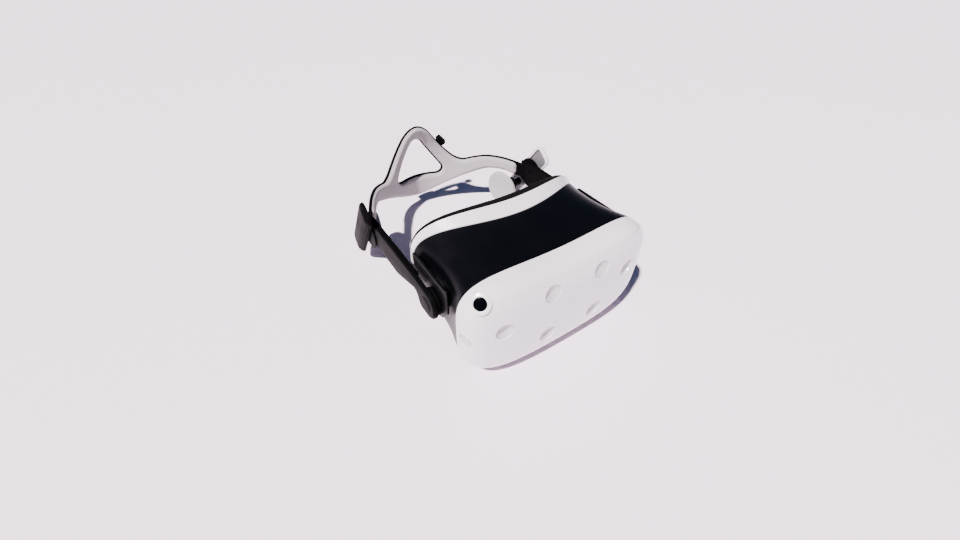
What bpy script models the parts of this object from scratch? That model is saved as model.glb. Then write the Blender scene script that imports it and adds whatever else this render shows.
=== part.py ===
"""A virtual reality headset with a rigid head strap and a pair of hinged earphones.

Metres, +Z up. The wearer looks along -Y, so the white cover is the frontmost piece and the rear cradle
the last one. The origin is on the surface that the headset stands on, under the middle of its box.
Depths are measured backwards (+Y) from the cover's rim, where it meets the housing.
"""

import math

import bmesh
import bpy
import numpy as np
from mathutils import Matrix, Vector

MM = 0.001
GAP = 0.3 * MM                    # between pieces that touch
RUN = 0.35 * MM                   # round a piece that turns or slides
SEGMENTS = 48                     # points round the front unit's loops
FINE_STEPS = 720                  # points walked to space those evenly
ROUND = 18                        # sides of a round piece

# Front cover
COVER_HALF_WIDTH = 93.0 * MM
COVER_HALF_HEIGHT = 51.3 * MM
COVER_CENTRE_Z = 55.5 * MM
COVER_CORNER = 3.86               # exponent of the squared oval
COVER_DIP = 8.9 * MM              # the top edge's middle sinks
COVER_SWEEP = 2.16 * MM           # the rim's sides lie further back
COVER_BULGE = 25.8 * MM
COVER_DOME = 3.53                 # exponent of the bulge
COVER_WALL = 3.0 * MM

# Recesses with tracking windows, each (x, height, radius)
RECESS_DEPTH = 1.7 * MM
WINDOW_THICKNESS = 0.9 * MM
RECESSES = (
    (-65.8 * MM, 62.7 * MM, 7.7 * MM), (-24.5 * MM, 81.0 * MM, 7.7 * MM), (25.5 * MM, 81.0 * MM, 7.7 * MM),
    (60.0 * MM, 65.0 * MM, 7.7 * MM), (-24.5 * MM, 36.1 * MM, 7.7 * MM), (26.1 * MM, 36.0 * MM, 7.7 * MM),
    (1.0 * MM - COVER_HALF_WIDTH, 55.5 * MM, 5.6 * MM),
    (COVER_HALF_WIDTH - 1.0 * MM, 55.5 * MM, 5.6 * MM))

# Camera
CAMERA_X = -80.8 * MM
CAMERA_Z = 91.7 * MM
CAMERA_RADIUS = 4.7 * MM
BEZEL_RADIUS = 8.0 * MM
BEZEL_RISE = 0.7 * MM
BEZEL_DEPTH = 2.0 * MM

# Housing, a waisted tube behind the cover
HOUSING_HALF_WIDTH = COVER_HALF_WIDTH - 3.75 * MM
HOUSING_RISE = 45.5 * MM
HOUSING_DROP = 66.5 * MM          # past the floor, so that the underside has a flat foot
HOUSING_CENTRE_Z = 62.1 * MM
HOUSING_CORNER = 3.07
HOUSING_DIP = 3.4 * MM
HOUSING_DEPTH = 48.3 * MM
HOUSING_SWEEP = 31.4 * MM
HOUSING_WALL = 2.6 * MM
WAIST = 6.5 * MM
FOOT_START = 0.2                  # share of the housing's length where its foot is fully down
NOSE_RISE = 24.0 * MM
NOSE_HALF_WIDTH = 36.0 * MM

# Face ring and cushion
RING_HALF_WIDTH = COVER_HALF_WIDTH - 3.6 * MM
RING_RISE = 52.3 * MM
RING_DEPTH = 60.3 * MM
RING_SWEEP = 23.1 * MM
RING_FLANGE = 15.0 * MM
CUSHION_HALF_WIDTH = COVER_HALF_WIDTH - 5.0 * MM
CUSHION_RISE = 50.0 * MM
CUSHION_DEPTH = 72.0 * MM
CUSHION_SWEEP = 16.5 * MM
CUSHION_WIDTH = 19.0 * MM

# Inside of the housing
CHASSIS_SHARES = (0.36, 0.42)
CHASSIS_DEPTH = 18.0 * MM
CHASSIS_THICKNESS = 3.0 * MM
CHASSIS_FLAT = 0.86               # share of the plate's outline that is flat
EYE_HALF_DISTANCE = 32.0 * MM
EYE_TRAVEL = 3.0 * MM
EYE_Z = 58.0 * MM
BARREL_RADIUS = 23.5 * MM
BARREL_WALL = 2.0 * MM
BARREL_START = 5.0 * MM
BARREL_END = 38.0 * MM
COLLAR_RADIUS = 25.6 * MM
COLLAR_THICKNESS = 1.8 * MM
LENS_START = 29.0 * MM
LENS_EDGE = 2.0 * MM
LENS_CROWN = 2.6 * MM
SPREADER_SIZE = (134.0 * MM, 2.4 * MM, 62.0 * MM)
SPREADER_DEPTH = -3.4 * MM
BOARD_SIZE = (110.0 * MM, 1.6 * MM, 56.0 * MM)
DISPLAY_SIZE = (58.0 * MM, 2.0 * MM, 58.0 * MM)
POST_RADIUS = 2.4 * MM
POST_X = 63.8 * MM
POST_RISE = 24.0 * MM
SENSOR_RADIUS = 3.2 * MM
SENSOR_RISE = 24.0 * MM

# Eye distance knob, right side, and system button, left side
KNOB_DEPTH = 18.0 * MM
KNOB_Z = 30.0 * MM
KNOB_RADIUS = 5.6 * MM
KNOB_INNER_X = COVER_HALF_WIDTH - 3.5 * MM
KNOB_THICKNESS = 3.0 * MM
KNOB_SHAFT_RADIUS = 2.6 * MM
KNOB_SHAFT_END = KNOB_INNER_X - 8.0 * MM
BUTTON_DEPTH = 14.0 * MM
BUTTON_Z = 27.0 * MM
BUTTON_RADIUS = 4.2 * MM
BUTTON_OUTER_X = COVER_HALF_WIDTH - 7.4 * MM
BUTTON_INNER_X = BUTTON_OUTER_X - 6.1 * MM

# Strap pivots and temple plates
PIVOT_DEPTH = 38.0 * MM
PIVOT_Z = 58.0 * MM
KNUCKLE_RADIUS = 13.0 * MM
PIN_RADIUS = 4.0 * MM
CAP_RADIUS = 7.0 * MM
CAP_THICKNESS = 1.0 * MM
PLATE_INNER_X = COVER_HALF_WIDTH - 3.8 * MM
PLATE_OUTER_X = PLATE_INNER_X + 2.3 * MM
PLATE_FRONT = 17.5 * MM
PLATE_REAR = 73.5 * MM
PLATE_BOSS_X = PLATE_INNER_X - 3.2 * MM
PLATE_BOSS_RADIUS = 9.0 * MM
DISC_RADIUS = 12.2 * MM
KNUCKLE_INNER_X = PLATE_OUTER_X + 4.1 * MM

# Strap arms
ARM_OUTER_X = PLATE_OUTER_X + 8.0 * MM
ARM_INNER_X = PLATE_OUTER_X + 2.1 * MM
ARM_BOTTOM = 47.0 * MM
ARM_TOP = 73.5 * MM
ARM_REAR = 172.0 * MM
ARM_FALL = 3.7 * MM               # the top edge comes down to the cradle
ARM_NECK = 56.0 * MM              # depth of the slim neck behind the knuckle
ARM_NECK_BOTTOM = 59.5 * MM
ARM_FULL = 94.0 * MM              # depth where the arm has its full height
ARM_STEP = 60.0 * MM              # the knuckle is thinner up to here
ARM_EDGE = 1.0 * MM
SLEEVE_FRONT = 100.0 * MM

# Tongues of the cradle, which slide in the arms
TONGUE_INNER_X = ARM_INNER_X + 1.6 * MM
TONGUE_OUTER_X = TONGUE_INNER_X + 2.0 * MM
TONGUE_BOTTOM = 51.5 * MM
TONGUE_TOP = 68.5 * MM
TONGUE_FRONT = 106.0 * MM

# Rear cradle
CRADLE_HALF_WIDTH = ARM_INNER_X - 1.6 * MM
CRADLE_DEPTH = 158.0 * MM
CRADLE_REACH = 97.0 * MM
CRADLE_SIDE_POWER = 1.85         # exponents of the plan, both 2 for an ellipse
CRADLE_BACK_POWER = 1.35
CRADLE_THICKNESS = 3.0 * MM
CRADLE_PROUD = 1.5 * MM           # the shell shows past the pad's edge
CRADLE_LEAN = 10.0 * MM           # the apex leans forward
CRADLE_LEAN_START = 57.0 * MM
CRADLE_LEAN_SPAN = 46.0 * MM
CRADLE_JOG_ANGLE = 22.0           # degrees from the end over which the shell steps out to the tongue
CRADLE_LOWER = ((0.0, TONGUE_BOTTOM), (14.0, 53.5 * MM), (26.0, 56.0 * MM), (38.0, 53.0 * MM), (51.0, 41.5 * MM),
                (66.0, 27.5 * MM), (78.0, 18.0 * MM), (90.0, 14.0 * MM))
CRADLE_UPPER = ((0.0, TONGUE_TOP), (14.0, TONGUE_TOP), (30.0, 68.8 * MM), (40.0, 66.8 * MM), (48.0, 62.3 * MM),
                (55.0, 58.5 * MM), (60.0, 61.0 * MM), (66.0, 69.5 * MM), (73.0, 83.0 * MM), (80.0, 97.5 * MM),
                (90.0, 105.0 * MM))
WINDOW_CORNERS = ((0.0, 95.0 * MM, 8.0 * MM), (-35.5 * MM, 40.5 * MM, 7.0 * MM), (35.5 * MM, 40.5 * MM, 7.0 * MM))
WINDOW_LIP = 1.6 * MM             # the pad's opening is this much larger
PAD_END_ANGLE = 14.5
PAD_THICKNESS = 4.2 * MM
PAD_END_THICKNESS = 2.6 * MM      # up to PAD_THIN degrees from the cradle's end
PAD_THIN = 30.0
PAD_GAP = 0.5 * MM                # from the shell
PAD_EDGE = 1.6 * MM

# Fit dial and cable clip
DIAL_Z = 26.0 * MM
DIAL_RADIUS = 10.5 * MM
DIAL_THICKNESS = 7.5 * MM
DIAL_SHAFT_RADIUS = 3.0 * MM
DIAL_SHAFT_LENGTH = 2.4 * MM
CLIP_ANGLE = 69.5
CLIP_Z = 80.5 * MM
CLIP_TURN = 50.0                  # degrees, along the limb's edge
CLIP_SIZE = (12.0 * MM, 7.0 * MM, 6.6 * MM)
CLIP_SLOT = 2.4 * MM

# Earphones
BAR_DEPTH = 166.5 * MM
BAR_Z = 54.0 * MM
BAR_TURN = 37.5                   # degrees, the top leans forward
BAR_LENGTH = 90.0 * MM
BAR_WIDTH = 24.0 * MM
BAR_CORNER = 7.0 * MM
BAR_INNER_X = ARM_OUTER_X + 2.0 * MM
BAR_OUTER_X = BAR_INNER_X + 6.0 * MM
FRAME_THICKNESS = 2.4 * MM
TRACK_LENGTH = 82.0 * MM
TRACK_WIDTH = 18.0 * MM
TRACK_THICKNESS = 1.0 * MM
BOSS_DEPTH = 157.0 * MM
BOSS_Z = 57.5 * MM
BOSS_RADIUS = 18.5 * MM
AXLE_RADIUS = 8.0 * MM
AXLE_INSET = 1.0 * MM
STEM_BELOW = 22.5 * MM            # along the bar, from its middle down to the stem
STEM_RADIUS = 4.2 * MM
HUB_RADIUS = 8.0 * MM
HUB_INNER_X = ARM_INNER_X - 3.0 * MM
HUB_OUTER_X = HUB_INNER_X + 2.4 * MM
EARCUP_X = HUB_INNER_X - 5.6 * MM
EARCUP_DEPTH = 187.0 * MM
EARCUP_Z = 29.5 * MM
EARCUP_RADIUS = 15.5 * MM
EARCUP_THICKNESS = 2.6 * MM
NECK_RADIUS = 3.4 * MM
EARPAD_RADIUS = 21.5 * MM
EARPAD_THICKNESS = 4.5 * MM
EARPAD_DISH = 1.3 * MM
TOE_IN = 12.0                     # degrees, the ear cup's rear edge is further in

CRADLE_ROWS = 7
CRADLE_ANGLES = tuple(180.0 * k / 32 for k in range(33))

# Where depth 0 lies, so that the origin is under the middle of the box
REAR_DEPTH = CRADLE_DEPTH + CRADLE_REACH + GAP + CRADLE_THICKNESS + GAP + DIAL_THICKNESS
RIM_Y = -0.5 * (REAR_DEPTH - COVER_BULGE)

# Surface finishes: colour, roughness, metallic
WHITE_GLOSS = ((0.84, 0.82, 0.84), 0.22, 0.0)
BLACK_SATIN = ((0.010, 0.010, 0.013), 0.38, 0.0)
BLACK_MATT = ((0.014, 0.013, 0.014), 0.70, 0.0)
BLACK_GLASS = ((0.004, 0.004, 0.005), 0.06, 0.0)
DARK_GREY = ((0.085, 0.078, 0.080), 0.42, 0.0)
MID_GREY = ((0.32, 0.30, 0.33), 0.50, 0.0)
WHITE_CLOTH = ((0.70, 0.66, 0.68), 0.85, 0.0)
ALUMINIUM = ((0.62, 0.63, 0.65), 0.35, 1.0)
BOARD_GREEN = ((0.02, 0.10, 0.05), 0.50, 0.0)
LENS_GLASS = ((0.55, 0.60, 0.62), 0.04, 0.0)


# Plain shapes ---------------------------------------------------------------------------------------

def mix(first, second, share):
    """Value a share of the way from the first to the second."""
    return first + (second - first) * share


def ease(share):
    """Share from 0 to 1 that starts and ends gently."""
    held = np.clip(share, 0.0, 1.0)
    return held * held * (3.0 - 2.0 * held)


def signed_power(value, exponent):
    """Power of the size, with the sign kept."""
    return np.sign(value) * np.abs(value) ** exponent


def loft(loops, closed=False):
    """Skin over loops of equal length: closed joins the last to the first, else both ends are capped."""
    shape = bmesh.new()
    rows = [[shape.verts.new(point) for point in loop] for loop in loops]
    count = len(rows[0])
    following = rows[1:] + rows[:1] if closed else rows[1:]
    for near, far in zip(rows, following):
        for k in range(count):
            after = (k + 1) % count
            shape.faces.new((near[k], near[after], far[after], far[k]))
    if not closed:
        shape.faces.new(rows[0])
        shape.faces.new(rows[-1])
    return shape


def turned(profile, origin, direction, closed=False, sides=ROUND):
    """Round shape about a line: the profile's points are (radius, distance along the direction)."""
    along = Vector(direction).normalized()
    across = along.orthogonal().normalized()
    third = along.cross(across)
    angles = [2.0 * math.pi * k / sides for k in range(sides)]
    spokes = [across * math.cos(angle) + third * math.sin(angle) for angle in angles]
    start = Vector(origin)
    loops = [[start + along * distance + spoke * radius for spoke in spokes] for radius, distance in profile]
    return loft(loops, closed)


def disc(radius, origin, direction, start, end, sides=ROUND):
    """Cylinder along the direction, between two distances from the origin."""
    return turned(((radius, start), (radius, end)), origin, direction, sides=sides)


def rounded(corners, steps=4):
    """Closed outline through corners (a, b, radius), each rounded by an arc."""
    outline = []
    for k, (a, b, radius) in enumerate(corners):
        here = np.array((a, b))
        back = np.array(corners[k - 1][:2]) - here
        on = np.array(corners[(k + 1) % len(corners)][:2]) - here
        back /= np.linalg.norm(back)
        on /= np.linalg.norm(on)
        half = 0.5 * math.acos(float(np.clip(back @ on, -1.0, 1.0)))
        middle = (back + on) / np.linalg.norm(back + on)
        centre = here + middle * radius / math.sin(half)
        start = here + back * radius / math.tan(half) - centre
        end = here + on * radius / math.tan(half) - centre
        first = math.atan2(start[1], start[0])
        sweep = math.remainder(math.atan2(end[1], end[0]) - first, 2.0 * math.pi)
        for step in range(steps):
            angle = first + sweep * step / (steps - 1)
            outline.append((centre[0] + radius * math.cos(angle), centre[1] + radius * math.sin(angle)))
    return outline


def rounded_bar(length, width, radius, steps=4):
    """Rounded rectangle about the origin, its length along the second axis."""
    a = 0.5 * width
    b = 0.5 * length
    return rounded(((a, -b, radius), (a, b, radius), (-a, b, radius), (-a, -b, radius)), steps)


def slab_x(outline, start, end):
    """Slab between two x values, its outline given as (y, z)."""
    return loft([[(x, y, z) for y, z in outline] for x in (start, end)])


def slab_y(outline, start, end):
    """Slab between two y values, its outline given as (x, z)."""
    return loft([[(x, y, z) for x, z in outline] for y in (start, end)])


def box(centre, size):
    """Rectangular block."""
    shape = bmesh.new()
    place = Matrix.Translation(centre) @ Matrix.Diagonal((*size, 1.0))
    bmesh.ops.create_cube(shape, size=1.0, matrix=place)
    return shape


# Objects --------------------------------------------------------------------------------------------

def new_object(name, shape, origin):
    """Object from a shape in world coordinates, with its own origin there."""
    bmesh.ops.translate(shape, verts=shape.verts, vec=-Vector(origin))
    bmesh.ops.recalc_face_normals(shape, faces=shape.faces)
    mesh = bpy.data.meshes.new(name)
    shape.to_mesh(mesh)
    shape.free()
    made = bpy.data.objects.new(name, mesh)
    made.location = origin
    bpy.context.scene.collection.objects.link(made)
    return made


def piece(name, shape, finish, origin=(0.0, 0.0, 0.0)):
    """Visible sub-part with a material of its own."""
    made = new_object(name, shape, origin)
    made.data.shade_smooth()
    made.data.set_sharp_from_angle(angle=math.radians(35.0))
    colour, roughness, metallic = finish
    material = bpy.data.materials.new(name)
    material.use_nodes = True
    shader = material.node_tree.nodes["Principled BSDF"]
    shader.inputs["Base Color"].default_value = (*colour, 1.0)
    shader.inputs["Roughness"].default_value = roughness
    shader.inputs["Metallic"].default_value = metallic
    made.data.materials.append(material)
    return made


def combine(target, label, shape, operation="DIFFERENCE"):
    """Cut a shape from the target, or join it on."""
    tool = new_object(f"{target.name}_{label}", shape, (0.0, 0.0, 0.0))
    tool.hide_render = True
    tool.display_type = "WIRE"
    modifier = target.modifiers.new(label, "BOOLEAN")
    modifier.operation = operation
    modifier.solver = "EXACT"
    modifier.object = tool


def soften(target, width, segments=1):
    """Bevel a piece's sharp edges."""
    modifier = target.modifiers.new("edges", "BEVEL")
    modifier.width = width
    modifier.segments = segments
    modifier.limit_method = "ANGLE"
    modifier.angle_limit = math.radians(50.0)


def sided(shape, side):
    """The shape as it is on the right (+1), or mirrored to the left (-1)."""
    if side < 0:
        bmesh.ops.scale(shape, verts=shape.verts, vec=(-1.0, 1.0, 1.0))
    return shape


# Loops of the front unit ----------------------------------------------------------------------------

def oval(half_width, rise, drop, corner, centre_z, dip=0.0, nose=0.0, floor=0.0):
    """Evenly spaced (x, z) points of a squared oval, from the middle of its underside.

    The middle of the top sinks by dip, the underside stays on the floor, and its middle arches by nose.
    """
    turn = np.linspace(-0.5 * np.pi, 1.5 * np.pi, FINE_STEPS + 1)
    x = half_width * signed_power(np.cos(turn), 2.0 / corner)
    height = signed_power(np.sin(turn), 2.0 / corner)
    upper = np.clip(height, 0.0, None)
    lower = np.clip(-height, 0.0, None)
    z = centre_z + rise * upper - drop * lower - dip * (1.0 - (x / half_width) ** 2) * upper
    z = np.maximum(z, floor) + nose * ease(1.0 - np.abs(x) / NOSE_HALF_WIDTH) * lower
    walked = np.concatenate(([0.0], np.cumsum(np.hypot(np.diff(x), np.diff(z)))))
    marks = np.linspace(0.0, walked[-1], SEGMENTS, endpoint=False)
    return np.interp(marks, walked, x), np.interp(marks, walked, z)


def at_depth(x, depth, z):
    """Loop of points from x, depth and height."""
    return np.stack(np.broadcast_arrays(x, RIM_Y + depth, z), axis=1)


def cover_depth(x, share, inset=0.0):
    """Depth of the cover's skin where the loop is a share of the rim's size."""
    bulge = (COVER_BULGE - inset) * (1.0 - share ** COVER_DOME) ** (1.0 / COVER_DOME)
    return COVER_SWEEP * (x / COVER_HALF_WIDTH) ** 2 - bulge


def cover_loop(share, inset=0.0):
    """Loop of the cover's skin, or of its inner face when inset."""
    x, z = oval(COVER_HALF_WIDTH - inset, COVER_HALF_HEIGHT - inset, COVER_HALF_HEIGHT - inset,
                COVER_CORNER, 0.0, COVER_DIP, floor=-1.0)
    return at_depth(x * share, cover_depth(x * share, share, inset), COVER_CENTRE_Z + z * share)


def cover_share(x, z):
    """Share of the rim's size at which a loop of the cover passes through a point."""
    across = abs(x) / COVER_HALF_WIDTH
    low, high = 0.0, 1.0
    for _ in range(40):
        share = 0.5 * (low + high)
        at_rim = x / max(share, 1e-9) / COVER_HALF_WIDTH
        sink = COVER_DIP * (1.0 - min(at_rim * at_rim, 1.0)) if z > COVER_CENTRE_Z else 0.0
        up = abs(z - COVER_CENTRE_Z) / (COVER_HALF_HEIGHT - sink)
        inside = across ** COVER_CORNER + up ** COVER_CORNER < share ** COVER_CORNER
        low, high = (low, share) if inside else (share, high)
    return high


def cover_point(x, z):
    """Point of the cover's skin in front of (x, z), and the direction that faces out of it."""
    def skin(a, b):
        share = min(cover_share(a, b), 0.9999)
        return Vector((a, RIM_Y + float(cover_depth(a, share)), b))
    step = 0.4 * MM
    inward = -math.copysign(step, x)
    point = skin(x, z)
    across = (skin(x + inward, z) - point) * math.copysign(1.0, inward)
    up = skin(x, z + step) - point
    return point, across.cross(up).normalized()


def housing_loop(share, inset=0.0):
    """Loop round the housing, a share of the way from the cover to the face ring."""
    waist = WAIST * 4.0 * share * (1.0 - share)
    half_width = mix(COVER_HALF_WIDTH, HOUSING_HALF_WIDTH, share) - waist
    rise = mix(COVER_HALF_HEIGHT, HOUSING_RISE, share)
    drop = mix(COVER_HALF_HEIGHT, HOUSING_DROP, ease(share / FOOT_START))
    x, z = oval(half_width - inset, rise - inset, drop - inset, mix(COVER_CORNER, HOUSING_CORNER, share),
                mix(COVER_CENTRE_Z, HOUSING_CENTRE_Z, share), mix(COVER_DIP, HOUSING_DIP, share),
                NOSE_RISE * ease((share - 0.5) / 0.5), inset)
    front = GAP + COVER_SWEEP * (x / COVER_HALF_WIDTH) ** 2
    rear = HOUSING_DEPTH + HOUSING_SWEEP * (x / HOUSING_HALF_WIDTH) ** 2
    return at_depth(x, mix(front, rear, share), z)


def ring_loop(share, inset=0.0):
    """Loop round the face ring, a share of the way from the housing to the cushion."""
    x, z = oval(mix(HOUSING_HALF_WIDTH, RING_HALF_WIDTH, share) - inset, mix(HOUSING_RISE, RING_RISE, share) - inset,
                HOUSING_DROP - inset, HOUSING_CORNER, HOUSING_CENTRE_Z, HOUSING_DIP, NOSE_RISE, inset)
    front = HOUSING_DEPTH + HOUSING_SWEEP * (x / HOUSING_HALF_WIDTH) ** 2 + GAP
    rear = RING_DEPTH + RING_SWEEP * (x / RING_HALF_WIDTH) ** 2
    return at_depth(x, mix(front, rear, share), z)


def cushion_loop(inset, back):
    """Loop of the face cushion: back is 0 on the ring and 1 where the face touches it."""
    x, z = oval(CUSHION_HALF_WIDTH - inset, CUSHION_RISE - inset, HOUSING_DROP - GAP - inset, HOUSING_CORNER,
                HOUSING_CENTRE_Z, HOUSING_DIP, NOSE_RISE, inset + 4.0 * MM)
    front = RING_DEPTH + RING_SWEEP * (x / RING_HALF_WIDTH) ** 2 + 2.0 * GAP
    rear = CUSHION_DEPTH + CUSHION_SWEEP * (x / CUSHION_HALF_WIDTH) ** 2
    return at_depth(x, mix(front, rear, back), z)


# Front unit -----------------------------------------------------------------------------------------

def front_cover():
    """White cover, its recesses with their windows, and the camera."""
    shares = (0.03, 0.45, 0.7, 0.86, 0.945, 0.985, 1.0)
    outer = [cover_loop(share) for share in shares]
    inner = [cover_loop(share, COVER_WALL) for share in reversed(shares)]
    cover = piece("front_visor", loft(outer + inner), WHITE_GLOSS)
    for number, (x, z, radius) in enumerate(RECESSES, start=1):
        point, outward = cover_point(x, z)
        combine(cover, f"recess_{number}", disc(radius, point, outward, -RECESS_DEPTH, 8.0 * MM, 20))
        low = -RECESS_DEPTH + GAP
        piece(f"sensor_window_{number}",
              disc(radius - GAP, point, outward, low, low + WINDOW_THICKNESS, 20), WHITE_GLOSS, point)
    point, outward = cover_point(CAMERA_X, CAMERA_Z)
    combine(cover, "camera_pocket", disc(BEZEL_RADIUS + GAP, point, outward, -BEZEL_DEPTH, 8.0 * MM))
    low = -BEZEL_DEPTH + GAP
    hole = CAMERA_RADIUS + GAP
    ring = ((hole, low), (BEZEL_RADIUS, low), (BEZEL_RADIUS, 0.0), (hole + 0.6 * MM, BEZEL_RISE),
            (hole, BEZEL_RISE))
    piece("camera_bezel", turned(ring, point, outward, closed=True), WHITE_GLOSS, point)
    dome = ((CAMERA_RADIUS, low), (CAMERA_RADIUS, 0.0), (0.75 * CAMERA_RADIUS, 0.45 * BEZEL_RISE),
            (0.3 * CAMERA_RADIUS, 0.6 * BEZEL_RISE))
    piece("camera_lens", turned(dome, point, outward), BLACK_GLASS, point)


def housing():
    """Black tube between the cover and the face ring, with the holes for the knob and the button."""
    shares = (0.0, 0.18, *CHASSIS_SHARES, 0.66, 0.84, 1.0)
    outer = [housing_loop(share) for share in shares]
    inner = [housing_loop(share, HOUSING_WALL) for share in reversed(shares)]
    shell = piece("body_shell", loft(outer + inner, closed=True), BLACK_SATIN)
    knob_centre = (0.0, RIM_Y + KNOB_DEPTH, KNOB_Z)
    combine(shell, "knob_hole", disc(KNOB_SHAFT_RADIUS + RUN, knob_centre, (1, 0, 0), KNOB_SHAFT_END - 11.5 * MM,
                                  KNOB_INNER_X + 5.5 * MM))
    button_centre = (0.0, RIM_Y + BUTTON_DEPTH, BUTTON_Z)
    combine(shell, "button_hole", disc(BUTTON_RADIUS + RUN, button_centre, (-1, 0, 0), BUTTON_INNER_X - 9.5 * MM,
                                    BUTTON_OUTER_X + 9.4 * MM))


def face_ring():
    """White ring that holds the cushion, an outer band with a flange inside."""
    loops = [ring_loop(0.0), ring_loop(0.5), ring_loop(1.0), ring_loop(1.0, RING_FLANGE),
             ring_loop(0.75, RING_FLANGE), ring_loop(0.35, HOUSING_WALL), ring_loop(0.0, HOUSING_WALL)]
    piece("face_ring", loft(loops, closed=True), WHITE_GLOSS)


def face_cushion():
    """Black foam cushion round the eye opening."""
    edge = 2.0 * MM
    loops = [cushion_loop(0.0, 0.0), cushion_loop(0.0, 0.75), cushion_loop(edge, 1.0),
             cushion_loop(CUSHION_WIDTH - 3.0 * edge, 0.9), cushion_loop(CUSHION_WIDTH, 0.5),
             cushion_loop(CUSHION_WIDTH, 0.0)]
    piece("face_cushion", loft(loops, closed=True), BLACK_MATT)


def chassis():
    """Metal plate across the housing, with a slot for each eye tube."""
    front_share, rear_share = CHASSIS_SHARES
    edge = HOUSING_WALL + 2.0 * GAP
    front = housing_loop(front_share, edge)
    rear = housing_loop(rear_share, edge)
    middle = np.array((0.0, 0.0, mix(COVER_CENTRE_Z, HOUSING_CENTRE_Z, front_share)))

    def flat(loop, depth):
        small = middle + (loop - middle) * CHASSIS_FLAT
        return at_depth(small[:, 0], depth, small[:, 2])

    loops = [flat(front, CHASSIS_DEPTH), front, rear, flat(front, CHASSIS_DEPTH + CHASSIS_THICKNESS)]
    plate = piece("chassis_plate", loft(loops), ALUMINIUM)
    for side, label in ((-1, "l"), (1, "r")):
        reach = BARREL_RADIUS + RUN
        centre = side * EYE_HALF_DISTANCE
        slot = [(centre + x, EYE_Z + z) for z, x in rounded_bar(2.0 * (reach + EYE_TRAVEL), 2.0 * reach, reach, 9)]
        combine(plate, f"slot_{label}", slab_y(slot, RIM_Y + CHASSIS_DEPTH - 9.0 * MM,
                                               RIM_Y + CHASSIS_DEPTH + 12.0 * MM))


def electronics():
    """Heat spreader on four posts, the board on it, the two displays on the board, and the face sensor."""
    y = RIM_Y + SPREADER_DEPTH
    middle = Vector((0.0, y + 0.5 * SPREADER_SIZE[1], EYE_Z))
    soften(piece("heat_spreader", box(middle, SPREADER_SIZE), ALUMINIUM, middle), 0.5 * MM)
    y += SPREADER_SIZE[1]
    post_start = y + GAP - RIM_Y
    middle = Vector((0.0, y + GAP + 0.5 * BOARD_SIZE[1], EYE_Z))
    piece("main_board", box(middle, BOARD_SIZE), BOARD_GREEN, middle)
    y += GAP + BOARD_SIZE[1]
    for side, label in ((-1, "l"), (1, "r")):
        middle = Vector((side * EYE_HALF_DISTANCE, y + GAP + 0.5 * DISPLAY_SIZE[1], EYE_Z))
        piece(f"display_{label}", box(middle, DISPLAY_SIZE), BLACK_GLASS, middle)
        for rise, level in ((POST_RISE, "top"), (-POST_RISE, "bottom")):
            foot = Vector((side * POST_X, RIM_Y, EYE_Z + rise))
            post = disc(POST_RADIUS, foot, (0, 1, 0), post_start, CHASSIS_DEPTH - GAP, 16)
            piece(f"post_{level}_{label}", post, ALUMINIUM, foot)
    place = Vector((0.0, RIM_Y + CHASSIS_DEPTH + CHASSIS_THICKNESS + GAP, EYE_Z + SENSOR_RISE))
    piece("proximity_sensor", disc(SENSOR_RADIUS, place, (0, 1, 0), 0.0, 1.5 * MM, 20), BLACK_GLASS, place)


def eye_tube(side, label):
    """Tube with collars either side of the chassis, and the lens in its rear end."""
    centre = Vector((side * EYE_HALF_DISTANCE, RIM_Y, EYE_Z))
    inner = BARREL_RADIUS - BARREL_WALL
    front = CHASSIS_DEPTH - RUN
    rear = CHASSIS_DEPTH + CHASSIS_THICKNESS + RUN
    wall = ((inner, BARREL_START), (BARREL_RADIUS, BARREL_START), (BARREL_RADIUS, front - COLLAR_THICKNESS),
            (COLLAR_RADIUS, front - COLLAR_THICKNESS), (COLLAR_RADIUS, front), (BARREL_RADIUS, front),
            (BARREL_RADIUS, rear), (COLLAR_RADIUS, rear), (COLLAR_RADIUS, rear + COLLAR_THICKNESS),
            (BARREL_RADIUS, rear + COLLAR_THICKNESS), (BARREL_RADIUS, BARREL_END), (inner, BARREL_END))
    piece(f"lens_barrel_{label}", turned(wall, centre, (0, 1, 0), closed=True, sides=20), BLACK_MATT, centre)
    edge = inner - GAP
    back = LENS_START + LENS_EDGE
    glass = ((0.35 * edge, LENS_START - 0.9 * LENS_CROWN), (0.75 * edge, LENS_START - 0.45 * LENS_CROWN),
             (edge, LENS_START), (edge, back), (0.75 * edge, back + 0.45 * LENS_CROWN),
             (0.35 * edge, back + 0.9 * LENS_CROWN))
    piece(f"lens_{label}", turned(glass, centre, (0, 1, 0), sides=20), LENS_GLASS, centre)


def side_controls():
    """Knob that sets the eye distance, and the sprung system button."""
    centre = Vector((KNOB_INNER_X, RIM_Y + KNOB_DEPTH, KNOB_Z))
    rim = KNOB_THICKNESS - 0.6 * MM
    profile = ((KNOB_SHAFT_RADIUS, KNOB_SHAFT_END - KNOB_INNER_X), (KNOB_SHAFT_RADIUS, 0.0), (KNOB_RADIUS, 0.0),
               (KNOB_RADIUS, rim), (KNOB_RADIUS - 0.6 * MM, KNOB_THICKNESS))
    piece("eye_distance_knob", turned(profile, centre, (1, 0, 0)), DARK_GREY, centre)
    centre = Vector((-BUTTON_OUTER_X, RIM_Y + BUTTON_DEPTH, BUTTON_Z))
    length = BUTTON_OUTER_X - BUTTON_INNER_X
    cap = ((BUTTON_RADIUS - 0.5 * MM, 0.0), (BUTTON_RADIUS, 0.5 * MM), (BUTTON_RADIUS, length))
    piece("system_button", turned(cap, centre, (1, 0, 0), sides=20), DARK_GREY, centre)


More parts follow.
